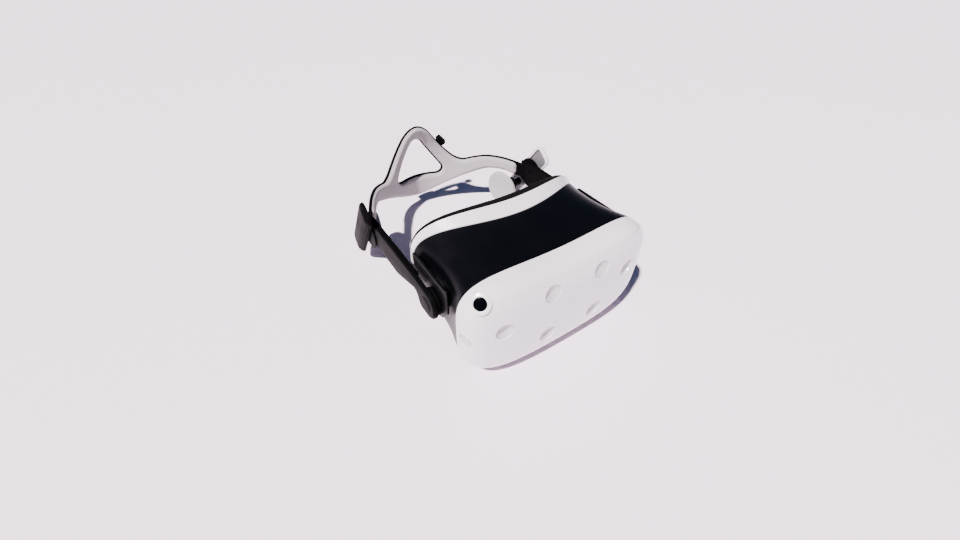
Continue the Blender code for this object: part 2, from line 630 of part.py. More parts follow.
def strap_pivot(side, label):
    """Temple plate on the housing, the disc with its pin that the arm turns on, and the cap."""
    outline = [(RIM_Y + depth, z) for depth, z in rounded((
        (PLATE_FRONT, 83.5 * MM, 3.0 * MM), (PLATE_FRONT, 60.0 * MM, 7.0 * MM), (28.0 * MM, 45.5 * MM, 9.0 * MM),
        (49.0 * MM, 45.5 * MM, 9.0 * MM), (PLATE_REAR, 62.0 * MM, 6.0 * MM), (PLATE_REAR, 84.5 * MM, 3.0 * MM)))]
    plate = piece(f"temple_plate_{label}", sided(slab_x(outline, PLATE_INNER_X, PLATE_OUTER_X), side), BLACK_SATIN)
    soften(plate, 0.7 * MM)
    axis = Vector((0.0, RIM_Y + PIVOT_DEPTH, PIVOT_Z))
    outward = (side, 0, 0)
    combine(plate, "boss", disc(PLATE_BOSS_RADIUS, axis, outward, PLATE_BOSS_X, PLATE_INNER_X + 1.0 * MM), "UNION")
    start = PLATE_OUTER_X + GAP
    face = KNUCKLE_INNER_X - RUN
    tip = ARM_OUTER_X - CAP_THICKNESS - 2.0 * GAP
    profile = ((DISC_RADIUS - 0.8 * MM, start), (DISC_RADIUS, start + 0.8 * MM), (DISC_RADIUS, face - 0.8 * MM),
               (DISC_RADIUS - 0.8 * MM, face), (PIN_RADIUS, face), (PIN_RADIUS, tip))
    piece(f"pivot_disc_{label}", turned(profile, axis, outward), BLACK_SATIN, axis)
    cap = ((CAP_RADIUS, tip + GAP), (CAP_RADIUS, tip + GAP + 0.7 * CAP_THICKNESS),
           (CAP_RADIUS - 0.5 * MM, tip + GAP + CAP_THICKNESS))
    piece(f"pivot_cap_{label}", turned(cap, axis, outward), BLACK_SATIN, axis)


# Strap ----------------------------------------------------------------------------------------------

def strap_arm(side, label):
    """Side arm: a knuckle on the pivot, a slim neck, and a sleeve for the cradle's tongue."""
    knuckle_front = PIVOT_DEPTH - KNUCKLE_RADIUS
    low = PIVOT_Z - KNUCKLE_RADIUS
    high = PIVOT_Z + KNUCKLE_RADIUS
    outline = [(RIM_Y + depth, z) for depth, z in rounded((
        (knuckle_front, high, 0.92 * KNUCKLE_RADIUS), (knuckle_front, low, 0.92 * KNUCKLE_RADIUS),
        (PIVOT_DEPTH + KNUCKLE_RADIUS, low, 7.0 * MM), (ARM_NECK, ARM_NECK_BOTTOM, 5.0 * MM),
        (ARM_FULL, ARM_BOTTOM, 14.0 * MM), (ARM_REAR, ARM_BOTTOM, 3.0 * MM), (ARM_REAR, ARM_TOP - ARM_FALL, 2.0 * MM),
        (ARM_REAR - 22.0 * MM, ARM_TOP, 12.0 * MM), (ARM_NECK, ARM_TOP, 12.0 * MM)))]
    axis = Vector((0.0, RIM_Y + PIVOT_DEPTH, PIVOT_Z))
    outward = (side, 0, 0)
    arm = piece(f"strap_arm_{label}", sided(slab_x(outline, ARM_INNER_X, ARM_OUTER_X), side), DARK_GREY, axis)
    soften(arm, ARM_EDGE)
    step = box((0.5 * (KNUCKLE_INNER_X + ARM_INNER_X) - 1.0 * MM, RIM_Y + 0.5 * ARM_STEP, PIVOT_Z),
               (KNUCKLE_INNER_X - ARM_INNER_X + 2.0 * MM, ARM_STEP, 60.0 * MM))
    combine(arm, "knuckle_step", sided(step, side))
    sleeve = box((0.5 * (TONGUE_INNER_X + TONGUE_OUTER_X), RIM_Y + 0.5 * (SLEEVE_FRONT + ARM_REAR) + 5.0 * MM,
                  0.5 * (TONGUE_BOTTOM + TONGUE_TOP)),
                 (TONGUE_OUTER_X - TONGUE_INNER_X + 2.0 * RUN, ARM_REAR - SLEEVE_FRONT + 10.0 * MM,
                  TONGUE_TOP - TONGUE_BOTTOM + 2.0 * RUN))
    combine(arm, "sleeve", sided(sleeve, side))
    mouth = box((ARM_INNER_X, RIM_Y + ARM_REAR, PIVOT_Z),
                (2.0 * (TONGUE_OUTER_X + RUN - ARM_INNER_X), 2.0 * (ARM_REAR - CRADLE_DEPTH), 60.0 * MM))
    combine(arm, "mouth", sided(mouth, side))
    combine(arm, "pin_hole", disc(PIN_RADIUS + RUN, axis, outward, PLATE_INNER_X, ARM_OUTER_X + 5.5 * MM))
    combine(arm, "cap_recess", disc(CAP_RADIUS + RUN, axis, outward, ARM_OUTER_X - CAP_THICKNESS - 2.0 * GAP,
                                    ARM_OUTER_X + 5.5 * MM))
    boss = Vector((0.0, RIM_Y + BOSS_DEPTH, BOSS_Z))
    combine(arm, "axle_recess", disc(AXLE_RADIUS + RUN, boss, outward, ARM_OUTER_X - AXLE_INSET - RUN,
                                     ARM_OUTER_X + 5.5 * MM))


def cradle_plan(angle):
    """Point of the pad's back curve, seen from above, and the direction out of it (90 degrees is the back)."""
    along = math.radians(angle)
    circle = np.array((math.cos(along), math.sin(along)))
    powers = np.array((CRADLE_SIDE_POWER, CRADLE_BACK_POWER))
    reach = np.array((CRADLE_HALF_WIDTH, CRADLE_REACH))
    normal = powers * signed_power(circle, 2.0 - 2.0 / powers) / reach
    return reach * signed_power(circle, 2.0 / powers), normal / np.linalg.norm(normal)


def cradle_station(angle, inset, low, high, rows):
    """Points up the cradle at an angle round it, inset from the pad's back face."""
    point, normal = cradle_plan(angle)
    x, y = point - inset * normal
    z = np.linspace(low, high, rows)
    lean = CRADLE_LEAN * np.clip((z - CRADLE_LEAN_START) / CRADLE_LEAN_SPAN, 0.0, None) ** 2
    return at_depth(x, CRADLE_DEPTH + y - lean * math.sin(math.radians(angle)), z)


def edge_height(table, angle):
    """Height of a cradle edge at an angle from one end, smooth between the named points."""
    folded = min(angle, 180.0 - angle)
    angles = np.array([point[0] for point in table])
    heights = np.array([point[1] for point in table])
    slopes = np.gradient(heights, angles)
    slopes[0] = 0.0
    slopes[-1] = 0.0
    k = int(np.clip(np.searchsorted(angles, folded) - 1, 0, len(angles) - 2))
    span = angles[k + 1] - angles[k]
    share = (folded - angles[k]) / span
    ends = mix(heights[k], heights[k + 1], ease(share))
    bend = span * share * (1.0 - share) * (slopes[k] * (1.0 - share) - slopes[k + 1] * share)
    return float(ends + bend)


def cradle_inner(angle):
    """How far the shell's inner face lies outside the pad's back curve."""
    folded = min(angle, 180.0 - angle)
    return mix(TONGUE_INNER_X - CRADLE_HALF_WIDTH, GAP, ease(folded / CRADLE_JOG_ANGLE))


def cradle_outer(angle):
    """How far the shell's outer face lies outside the pad's back curve."""
    folded = min(angle, 180.0 - angle)
    return mix(TONGUE_OUTER_X - CRADLE_HALF_WIDTH, GAP + CRADLE_THICKNESS, ease(folded / CRADLE_JOG_ANGLE))


def window_outline(growth):
    """Triangular opening of the cradle, larger all round by the growth."""
    corners = []
    for x, z, radius in WINDOW_CORNERS:
        away = np.array((x, z - 55.0 * MM))
        corner = away * (1.0 + 2.0 * growth / np.linalg.norm(away))
        corners.append((corner[0], corner[1] + 55.0 * MM, radius + growth))
    return rounded(corners, 7)


def cradle_shell():
    """Black outer shell of the cradle, with a straight tongue at each end."""
    loops = []
    for angle in CRADLE_ANGLES:
        low = edge_height(CRADLE_LOWER, angle)
        high = edge_height(CRADLE_UPPER, angle)
        proud = CRADLE_PROUD * ease(min(angle, 180.0 - angle) / CRADLE_JOG_ANGLE)
        inner = cradle_station(angle, -cradle_inner(angle), low - proud, high + proud, CRADLE_ROWS)
        outer = cradle_station(angle, -cradle_outer(angle), low - proud, high + proud, CRADLE_ROWS)
        loops.append(np.concatenate((inner, outer[::-1])))
    reach = np.array((0.0, CRADLE_DEPTH - TONGUE_FRONT, 0.0))
    loops = [loops[0] - reach] + loops + [loops[-1] - reach]
    shell = piece("cradle_shell", loft(loops), BLACK_SATIN)
    back = RIM_Y + CRADLE_DEPTH + CRADLE_REACH
    combine(shell, "window", slab_y(window_outline(0.0), back - 45.0 * MM, back + 20.0 * MM))
    hub = (0.0, back, DIAL_Z)
    combine(shell, "dial_hole", disc(DIAL_SHAFT_RADIUS + RUN, hub, (0, 1, 0), -5.0 * MM, 10.0 * MM, 24))


def cradle_pad():
    """Soft white pad on the inside of the cradle, rounded at both ends."""
    loops = []
    ends = [PAD_END_ANGLE, PAD_END_ANGLE + 0.8, PAD_END_ANGLE + 2.4]
    between = [angle for angle in CRADLE_ANGLES if ends[-1] + 1.0 < angle < 179.0 - ends[-1]]
    for angle in ends + between + [180.0 - angle for angle in reversed(ends)]:
        low = edge_height(CRADLE_LOWER, angle)
        high = edge_height(CRADLE_UPPER, angle)
        from_end = min(angle, 180.0 - angle) - PAD_END_ANGLE
        fullness = math.sqrt(1.0 - (1.0 - min(from_end / 4.5, 1.0)) ** 2)
        middle = 0.5 * (low + high)
        half = 0.5 * (high - low) * mix(0.45, 1.0, fullness)
        back = cradle_station(angle, -cradle_inner(angle) + PAD_GAP, middle - half, middle + half, CRADLE_ROWS)
        thickness = mix(PAD_END_THICKNESS, PAD_THICKNESS, ease((from_end + PAD_END_ANGLE - PAD_THIN) / PAD_THIN))
        edge = cradle_station(angle, 0.4 * thickness, middle - half, middle + half, CRADLE_ROWS)
        front = cradle_station(angle, thickness, middle - half + PAD_EDGE, middle + half - PAD_EDGE, CRADLE_ROWS)
        loops.append(np.concatenate((back, edge[-1:], front[::-1], edge[:1])))
    pad = piece("cradle_pad", loft(loops), WHITE_CLOTH)
    rear = RIM_Y + CRADLE_DEPTH + CRADLE_REACH
    combine(pad, "window", slab_y(window_outline(WINDOW_LIP), rear - 45.0 * MM, rear + 20.0 * MM))


def cradle_fittings():
    """Fit dial low at the back, and the cable clip on the right limb."""
    outer = CRADLE_DEPTH + CRADLE_REACH + GAP + CRADLE_THICKNESS
    centre = Vector((0.0, RIM_Y + outer + GAP, DIAL_Z))
    profile = ((DIAL_SHAFT_RADIUS, -DIAL_SHAFT_LENGTH), (DIAL_SHAFT_RADIUS, 0.0), (DIAL_RADIUS, 0.0),
               (DIAL_RADIUS, DIAL_THICKNESS - 1.2 * MM), (DIAL_RADIUS - 1.2 * MM, DIAL_THICKNESS))
    piece("fit_dial", turned(profile, centre, (0, 1, 0), sides=20), DARK_GREY, centre)
    inset = -cradle_outer(CLIP_ANGLE) - GAP - 0.5 * CLIP_SIZE[1]
    centre = Vector(cradle_station(CLIP_ANGLE, inset, CLIP_Z, CLIP_Z, 1)[0])
    slope = math.atan(2.0 * CRADLE_LEAN * (CLIP_Z - CRADLE_LEAN_START) / CRADLE_LEAN_SPAN ** 2)
    _, normal = cradle_plan(CLIP_ANGLE)
    turn = (Matrix.Translation(centre) @ Matrix.Rotation(math.atan2(-normal[0], normal[1]), 4, "Z")
            @ Matrix.Rotation(slope, 4, "X") @ Matrix.Rotation(math.radians(CLIP_TURN), 4, "Y"))
    block = box((0.0, 0.0, 0.0), CLIP_SIZE)
    bmesh.ops.transform(block, matrix=turn, verts=block.verts)
    clip = piece("cable_clip", block, BLACK_SATIN, centre)
    soften(clip, 1.0 * MM)
    slot = box((0.0, 0.5 * CLIP_SLOT, 0.0), (CLIP_SIZE[0] + 4.0 * MM, CLIP_SLOT, 0.5 * CLIP_SIZE[2]))
    bmesh.ops.transform(slot, matrix=turn, verts=slot.verts)
    combine(clip, "cable_slot", slot)


# Earphones ------------------------------------------------------------------------------------------

def on_bar(outline):
    """Outline on the earphone bar, (across, along) from its middle, as (y, z)."""
    turn = math.radians(BAR_TURN)
    return [(RIM_Y + BAR_DEPTH + across * math.cos(turn) - along * math.sin(turn),
             BAR_Z + across * math.sin(turn) + along * math.cos(turn)) for across, along in outline]


def earphone_bar(side, label):
    """Swinging bar: a boss on the arm, a white frame with a track inside, and the outer cover."""
    boss = Vector((0.0, RIM_Y + BOSS_DEPTH, BOSS_Z))
    outward = (side, 0, 0)
    seat = ARM_OUTER_X + RUN
    top = BAR_INNER_X - GAP
    profile = ((AXLE_RADIUS, ARM_OUTER_X - AXLE_INSET), (AXLE_RADIUS, seat), (BOSS_RADIUS, seat),
               (BOSS_RADIUS, top - 0.5 * MM), (BOSS_RADIUS - 0.5 * MM, top))
    piece(f"ear_boss_{label}", turned(profile, boss, outward), BLACK_SATIN, boss)
    outline = on_bar(rounded_bar(BAR_LENGTH, BAR_WIDTH, BAR_CORNER))
    frame_top = BAR_INNER_X + FRAME_THICKNESS
    finish = WHITE_GLOSS if side > 0 else BLACK_SATIN
    frame = piece(f"ear_bar_frame_{label}", sided(slab_x(outline, BAR_INNER_X, frame_top), side), finish, boss)
    slot = on_bar(rounded_bar(TRACK_LENGTH, TRACK_WIDTH, 0.25 * TRACK_WIDTH))
    combine(frame, "slot", sided(slab_x(slot, BAR_INNER_X - 2.0 * MM, frame_top + 2.0 * MM), side))
    strip = on_bar(rounded_bar(TRACK_LENGTH - 2.0 * GAP, TRACK_WIDTH - 2.0 * GAP, 0.25 * TRACK_WIDTH - GAP))
    piece(f"ear_bar_track_{label}", sided(slab_x(strip, frame_top - TRACK_THICKNESS, frame_top), side), MID_GREY,
          boss)
    shade = sided(slab_x(outline, frame_top + GAP, BAR_OUTER_X), side)
    cover = piece(f"ear_bar_cover_{label}", shade, BLACK_SATIN, boss)
    soften(cover, 1.6 * MM)


def stem_place(side):
    """Where the ear cup's stem meets the bar's track."""
    (y, z), = on_bar([(0.0, -STEM_BELOW)])
    return Vector((side * BAR_INNER_X, y, z))


def earphone(side, label):
    """Hub that slides along the bar, and the cup with its soft pad."""
    stem = stem_place(side)
    outward = (side, 0, 0)
    line = Vector((0.0, stem.y, stem.z))
    tip = BAR_INNER_X + FRAME_THICKNESS - TRACK_THICKNESS - RUN
    profile = ((HUB_RADIUS - 1.2 * MM, HUB_INNER_X), (HUB_RADIUS, HUB_INNER_X + 1.2 * MM),
               (HUB_RADIUS, HUB_OUTER_X - 1.2 * MM), (HUB_RADIUS - 1.2 * MM, HUB_OUTER_X),
               (STEM_RADIUS, HUB_OUTER_X), (STEM_RADIUS, tip))
    piece(f"ear_hub_{label}", turned(profile, line, outward), BLACK_SATIN, stem)
    toe = math.radians(TOE_IN)
    facing = Vector((-side * math.cos(toe), -math.sin(toe), 0.0))
    centre = Vector((side * EARCUP_X, RIM_Y + EARCUP_DEPTH, EARCUP_Z))
    pivot = Vector((side * (HUB_INNER_X - RUN), stem.y, stem.z))
    half = 0.5 * EARCUP_THICKNESS
    profile = ((0.85 * EARCUP_RADIUS, -half), (EARCUP_RADIUS, 0.0), (EARCUP_RADIUS, half))
    cup = piece(f"ear_cup_{label}", turned(profile, centre, facing, sides=20), WHITE_GLOSS, pivot)
    combine(cup, "neck", disc(NECK_RADIUS, line, outward, EARCUP_X + half, HUB_INNER_X - RUN), "UNION")
    seat = half + GAP
    pad = ((0.9 * EARPAD_RADIUS, seat), (EARPAD_RADIUS, seat + 0.3 * EARPAD_THICKNESS),
           (EARPAD_RADIUS, seat + 0.7 * EARPAD_THICKNESS), (0.9 * EARPAD_RADIUS, seat + EARPAD_THICKNESS),
           (0.6 * EARPAD_RADIUS, seat + EARPAD_THICKNESS - 0.4 * EARPAD_DISH),
           (0.2 * EARPAD_RADIUS, seat + EARPAD_THICKNESS - EARPAD_DISH))
    piece(f"ear_pad_{label}", turned(pad, centre, facing, sides=20), WHITE_CLOTH, pivot)


def clear_scene():
    """Take every object out of the scene."""
    for old in list(bpy.data.objects):
        bpy.data.objects.remove(old, do_unlink=True)


def main():
    """Build the headset."""
    clear_scene()
    front_cover()
    housing()
    face_ring()
    face_cushion()
    chassis()
    electronics()
    side_controls()
    for side, label in ((-1, "l"), (1, "r")):
        eye_tube(side, label)
        strap_pivot(side, label)
        strap_arm(side, label)
        earphone_bar(side, label)
        earphone(side, label)
    cradle_shell()
    cradle_pad()
    cradle_fittings()


main()
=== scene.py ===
"""Visual model of the VR headset: surfaces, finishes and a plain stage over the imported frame."""

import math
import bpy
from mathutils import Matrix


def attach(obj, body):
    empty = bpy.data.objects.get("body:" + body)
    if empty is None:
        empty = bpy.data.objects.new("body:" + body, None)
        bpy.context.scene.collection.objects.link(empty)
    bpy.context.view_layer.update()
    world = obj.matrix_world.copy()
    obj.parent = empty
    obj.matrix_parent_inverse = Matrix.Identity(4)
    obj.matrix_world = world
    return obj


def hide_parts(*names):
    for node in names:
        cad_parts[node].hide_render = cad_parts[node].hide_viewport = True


bl_info = {
    "name": "VR headset with rigid strap",
    "version": (1, 0, 0),
    "blender": (4, 5, 0),
    "location": "3D View > Sidebar > Headset",
    "description": "Makes the surfaces, soft pads and finishes of a VR headset on its packed frame",
    "category": "Object",
}

import bmesh
import bpy
import numpy as np
from mathutils import Vector

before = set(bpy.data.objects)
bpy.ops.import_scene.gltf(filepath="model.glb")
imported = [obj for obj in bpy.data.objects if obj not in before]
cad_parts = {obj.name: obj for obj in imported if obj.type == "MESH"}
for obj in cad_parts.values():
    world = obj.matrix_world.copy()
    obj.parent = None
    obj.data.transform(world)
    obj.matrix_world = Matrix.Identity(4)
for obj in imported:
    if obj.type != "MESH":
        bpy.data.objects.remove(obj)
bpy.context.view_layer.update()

MM = 0.001
TAU = 2.0 * math.pi
SIDES = ((-1, "l"), (1, "r"))
# Where the cover meets the housing; depths run backwards from here
RIM_Y = -120.15 * MM
# A turned profile starts this far off its axis
AXIS_RADIUS = 0.01 * MM

# Front unit, the sizes of its loops
COVER = {"half_width": 93.0 * MM, "rise": 51.3 * MM, "drop": 51.3 * MM, "corner": 3.86,
         "centre_z": 55.5 * MM, "dip": 8.9 * MM}
COVER_SWEEP = 2.16 * MM
COVER_BULGE = 25.8 * MM
COVER_DOME = 3.53
HOUSING = {"half_width": 89.25 * MM, "rise": 45.5 * MM, "drop": 66.5 * MM, "corner": 3.07,
           "centre_z": 62.1 * MM, "dip": 3.4 * MM}
HOUSING_DEPTH = 48.3 * MM
HOUSING_SWEEP = 31.4 * MM
WAIST = 6.5 * MM
FOOT_START = 0.2
NOSE_RISE = 24.0 * MM
NOSE_HALF_WIDTH = 36.0 * MM
RING_HALF_WIDTH = 89.4 * MM
RING_RISE = 52.3 * MM
RING_DEPTH = 60.3 * MM
RING_SWEEP = 23.1 * MM
CUSHION_HALF_WIDTH = 88.0 * MM
CUSHION_RISE = 50.0 * MM
CUSHION_DEPTH = 72.0 * MM
CUSHION_SWEEP = 16.5 * MM

# Recesses of the cover, each (x, height, radius), and the camera
RECESSES = np.array(((-65.8, 62.7, 7.7), (-24.5, 81.0, 7.7), (25.5, 81.0, 7.7), (60.0, 65.0, 7.7),
                     (-24.5, 36.1, 7.7), (26.1, 36.0, 7.7), (-92.0, 55.5, 5.6),
                     (92.0, 55.5, 5.6))) * MM
CAMERA = (-80.8 * MM, 91.7 * MM)
CAMERA_BORE = 8.12 * MM
RECESS_SIDES = 72
WINDOW_SHADE_TONE = 0.72                # windows darker than the cover: painted shade of their recesses

# Eyes, and the controls on the housing's sides as (depth, height)
EYE_HEIGHT = 58.0 * MM
EYE_HALF_DISTANCE = 32.0 * MM
KNOB = (18.0 * MM, 30.0 * MM)
KNOB_X = 89.5 * MM
KNOB_BORE = 2.95 * MM
BUTTON = (14.0 * MM, 27.0 * MM)
BUTTON_X = -85.6 * MM
BUTTON_BORE = KNOB_BORE + 1.6 * MM
SIDE_BORE = (70.0 * MM, 95.0 * MM)

# Strap
PIVOT = (38.0 * MM, 58.0 * MM)
ARM_INNER_X = 93.6 * MM
ARM_OUTER_X = 99.5 * MM
ARM_SLEEVE_X = 98.95 * MM
ARM_PANEL_X = 98.7 * MM
BORE_END = 105.0 * MM
# Cuts in an arm in millimetres, each (x, depth, height) and its (width, length, height)
ARM_CUTS = (((93.6, 30.0, 58.0), (4.0, 60.0, 60.0)),     # step at the pivot
            ((96.2, 141.0, 60.0), (2.7, 82.0, 17.7)),    # slot of the tongue
            ((93.6, 172.0, 58.0), (7.9, 28.0, 60.0)),    # step at the rear
            ((93.6, 150.0, 54.5), (0.9, 1.3, 5.0)),      # lower notch
            ((93.6, 150.0, 65.0), (0.9, 1.3, 5.0)))      # upper notch
TONGUE_FRONT = 106.0 * MM
CRADLE_HALF_WIDTH = 92.0 * MM
CRADLE_DEPTH = 158.0 * MM
CRADLE_REACH = 97.0 * MM
CRADLE_POWERS = (1.85, 1.35)
CRADLE_LEAN = 10.0 * MM
CRADLE_LEAN_FROM = 57.0           # in millimetres, as is the span
CRADLE_LEAN_SPAN = 46.0
CRADLE_BACK = RIM_Y + CRADLE_DEPTH + CRADLE_REACH
# How far the shell and the tongues stand outwards from the pad's back curve
TONGUE_NEAR = 3.2 * MM
TONGUE_FAR = 5.2 * MM
SHELL_NEAR = 0.3 * MM
PAD_END_ANGLE = 14.5
PAD_WINDOW_GROWTH = 1.6 * MM
DIAL_HEIGHT = 26.0 * MM
CRADLE_JOG_ANGLE = 22.0
# Edges of the cradle, each (angle, height in millimetres)
CRADLE_LOWER = np.array(((0.0, 51.5), (14.0, 53.5), (26.0, 56.0), (38.0, 53.0), (51.0, 41.5),
                         (66.0, 27.5), (78.0, 18.0), (90.0, 14.0)))
CRADLE_UPPER = np.array(((0.0, 68.5), (14.0, 68.5), (30.0, 68.8), (40.0, 66.8), (48.0, 62.3),
                         (55.0, 58.5), (60.0, 61.0), (66.0, 69.5), (73.0, 83.0), (80.0, 97.5),
                         (90.0, 105.0)))
# Corners of the cradle's opening, each (x, height, radius)
WINDOW = ((0.0, 95.0 * MM, 8.0 * MM), (-35.5 * MM, 40.5 * MM, 7.0 * MM),
          (35.5 * MM, 40.5 * MM, 7.0 * MM))
WINDOW_MIDDLE_Z = 55.0 * MM

# Earphones
# Bar, its middle as (depth, height)
BAR_MIDDLE = (166.5 * MM, 54.0 * MM)
BAR_TURN = math.radians(37.5)
BAR_LENGTH = 90.0 * MM
BAR_WIDTH = 24.0 * MM
BAR_INNER_X = 101.5 * MM
BAR_CORNER = 7.0 * MM
BAR_FACE_X = 103.9 * MM
TRACK_X = 102.6 * MM
# Length, width and corner of the opening in the bar and of the track in it
BAR_SLOT = (83.0 * MM, 18.6 * MM, 4.5 * MM)
BAR_TRACK = (81.4 * MM, 17.0 * MM, 3.8 * MM)
# Slope of the bar cover's outer face and how far its ridge is off the middle
RIDGE_FALL = 0.13
RIDGE_SHIFT = 3.0 * MM
HUB_ALONG = -22.5 * MM
# Depth, height and x of an ear cup, and how far it turns in towards the rear
EAR = (187.0 * MM, 29.5 * MM, 85.0 * MM)
EAR_TOE_IN = math.radians(12.0)
BOSS = (157.0 * MM, 57.5 * MM)

# Stage
FLOOR_REACH = 4.0
ROOM_COLOUR = (0.36, 0.52, 1.0, 1.0)
ROOM_STRENGTH = 0.17
BACKDROP_COLOUR = (0.76, 0.70, 0.76, 1.0)
BACKDROP_STRENGTH = 3.0
SUN_COLOUR = (1.0, 0.93, 0.94)
SUN_STRENGTH = 15.0
SUN_ANGLE = math.radians(2.5)
SUN_DIRECTION = (0.62, 0.23, -1.0)
# Lens and sensor in millimetres, places in metres
CAMERA_LENS = 15.34
CAMERA_SENSOR = 36.0
CAMERA_NEAR = 0.01
CAMERA_PLACE = (-0.1852, -0.29135, 0.2967)
CAMERA_AIM = (-0.0172, -0.03469, 0.01795)


# Sizes and colours that a user may change --------------------------------------------------------

def length(name, description, value):
    """Length property in metres."""
    return bpy.props.FloatProperty(name=name, description=description, default=value, min=0.0,
                                   unit="LENGTH", precision=5)


def colour(name, description, value):
    """Colour property."""
    return bpy.props.FloatVectorProperty(name=name, description=description, default=value, size=3,
                                         min=0.0, max=1.0, subtype="COLOR")


class HeadsetSizes(bpy.types.PropertyGroup):
    """Fine sizes of the surfaces"""
    recess_depth: length("Recess depth", "Depth of the sensor recesses in the cover", 3.6 * MM)
    window_dish: length("Window dish", "How hollow the face of a tracking window is", 2.4 * MM)
    cover_wall: length("Cover wall", "Wall of the front cover", 4.2 * MM)
    housing_wall: length("Housing wall", "Wall of the housing", 2.6 * MM)
    shell_wall: length("Cradle wall", "Wall of the rear cradle", 3.0 * MM)
    pad_thickness: length("Pad thickness", "Thickness of the cradle pad at the back", 4.4 * MM)
    pad_edge: length("Pad edge", "Width over which the pad rounds off", 4.2 * MM)
    weave: length("Weave", "Spacing of the threads in the pads' cloth", 0.8 * MM)
    foam_cell: length("Foam cell", "Size of the foam's pores", 0.7 * MM)


class HeadsetColours(bpy.types.PropertyGroup):
    """Colours of the finishes"""
    white: colour("White plastic", "Cover, face ring and earphones", (0.660, 0.620, 0.655))
    black: colour("Black plastic", "Housing", (0.0008, 0.0009, 0.0016))
    strap: colour("Strap black", "Cradle, bars and hubs", (0.0014, 0.0013, 0.0015))
    grey: colour("Dark grey", "Outer faces of the arms and the knobs", (0.0034, 0.0031, 0.0033))
    track: colour("Track grey", "Inside of the earphone bars", (0.115, 0.108, 0.122))
    cloth: colour("Pad cloth", "Cradle pad and ear pads", (0.33, 0.305, 0.318))
    foam: colour("Foam", "Face cushion", (0.0007, 0.0006, 0.0007))


def sizes():
    """The sizes in use."""
    return bpy.context.scene.headset_sizes


def colours():
    """The colours in use."""
    return bpy.context.scene.headset_colours


# Numbers -----------------------------------------------------------------------------------------

def mix(first, second, share):
    """Value a share of the way from the first to the second."""
    return first + (second - first) * share


def ease(share):
    """Smooth step 3t^2 - 2t^3 of the share, held between 0 and 1."""
    held = np.clip(share, 0.0, 1.0)
    return held * held * (3.0 - 2.0 * held)


def signed_power(value, exponent):
    """Power of the size, with the sign kept."""
    return np.sign(value) * np.abs(value) ** exponent


def walked(points):
    """Distance walked along a line of points (n, k), starting at 0."""
    steps = np.linalg.norm(np.diff(points, axis=0), axis=1)
    return np.concatenate(([0.0], np.cumsum(steps)))


def resample(points, count, closed=False):
    """Evenly spaced points along a line or a closed outline."""
    line = np.concatenate((points, points[:1])) if closed else np.asarray(points)
    along = walked(line)
    marks = np.linspace(0.0, along[-1], count, endpoint=not closed)
    return np.stack([np.interp(marks, along, line[:, k]) for k in range(line.shape[1])], axis=1)


def chaikin(profile, rounds=2, closed=True):
    """Corner cutting: each side gives its quarter points, so that corners round off."""
    line = np.asarray(profile, float)
    for _ in range(rounds):
        after = np.roll(line, -1, axis=0)
        cut = np.stack((0.75 * line + 0.25 * after, 0.25 * line + 0.75 * after), axis=1)
        line = cut.reshape(-1, line.shape[1]) if closed else np.concatenate(
            (line[:1], cut[:-1].reshape(-1, line.shape[1])[1:-1], line[-1:]))
    return line


def rounded(corners, steps=14):
    """Closed outline (n, 2) by corners (a, b, radius), each an arc tangent to both its sides."""
    places = np.array(corners, float)
    here, radius = places[:, :2], places[:, 2]
    back = np.roll(here, 1, axis=0) - here
    on = np.roll(here, -1, axis=0) - here
    back /= np.linalg.norm(back, axis=1, keepdims=True)
    on /= np.linalg.norm(on, axis=1, keepdims=True)
    half = 0.5 * np.arccos(np.clip((back * on).sum(1), -1.0, 1.0))
    middle = (back + on) / np.linalg.norm(back + on, axis=1, keepdims=True)
    centre = here + middle * (radius / np.sin(half))[:, None]
    reach = (radius / np.tan(half))[:, None]
    start = here + back * reach - centre
    end = here + on * reach - centre
    first = np.arctan2(start[:, 1], start[:, 0])
    sweep = np.remainder(np.arctan2(end[:, 1], end[:, 0]) - first + math.pi, TAU) - math.pi
    angle = first[:, None] + sweep[:, None] * np.linspace(0.0, 1.0, steps)
    arc = np.stack((np.cos(angle), np.sin(angle)), axis=2) * radius[:, None, None]
    return (centre[:, None] + arc).reshape(-1, 2)


def bar_outline(extent, width, radius):
    """Rounded rectangle about the origin, its length along the second axis."""
    a, b = 0.5 * width, 0.5 * extent
    return rounded(((a, -b, radius), (a, b, radius), (-a, b, radius), (-a, -b, radius)))


def offset(outline, inset):
    """Closed outline moved inwards by the inset along its normals."""
    tangent = np.roll(outline, -1, axis=0) - np.roll(outline, 1, axis=0)
    tangent /= np.linalg.norm(tangent, axis=1, keepdims=True)
    normal = np.stack((-tangent[:, 1], tangent[:, 0]), axis=1)
    area = np.sum(outline[:, 0] * np.roll(outline[:, 1], -1) - outline[:,
                                                                       1] * np.roll(outline[:, 0],
                                                                                    -1))
    return outline + normal * inset * (1.0 if area > 0 else -1.0)


# Meshes ------------------------------------------------------------------------------------------

def grid_faces(rows, columns, wrap_rows=False, wrap_columns=True):
    """Quads between neighbouring points of a grid, as an index array."""
    r = np.arange(rows if wrap_rows else rows - 1)[:, None]
    c = np.arange(columns if wrap_columns else columns - 1)[None, :]
    below, after = (r + 1) % rows, (c + 1) % columns
    quads = (r * columns + c, r * columns + after, below * columns + after, below * columns + c)
    return np.stack(quads, axis=-1).reshape(-1, 4)


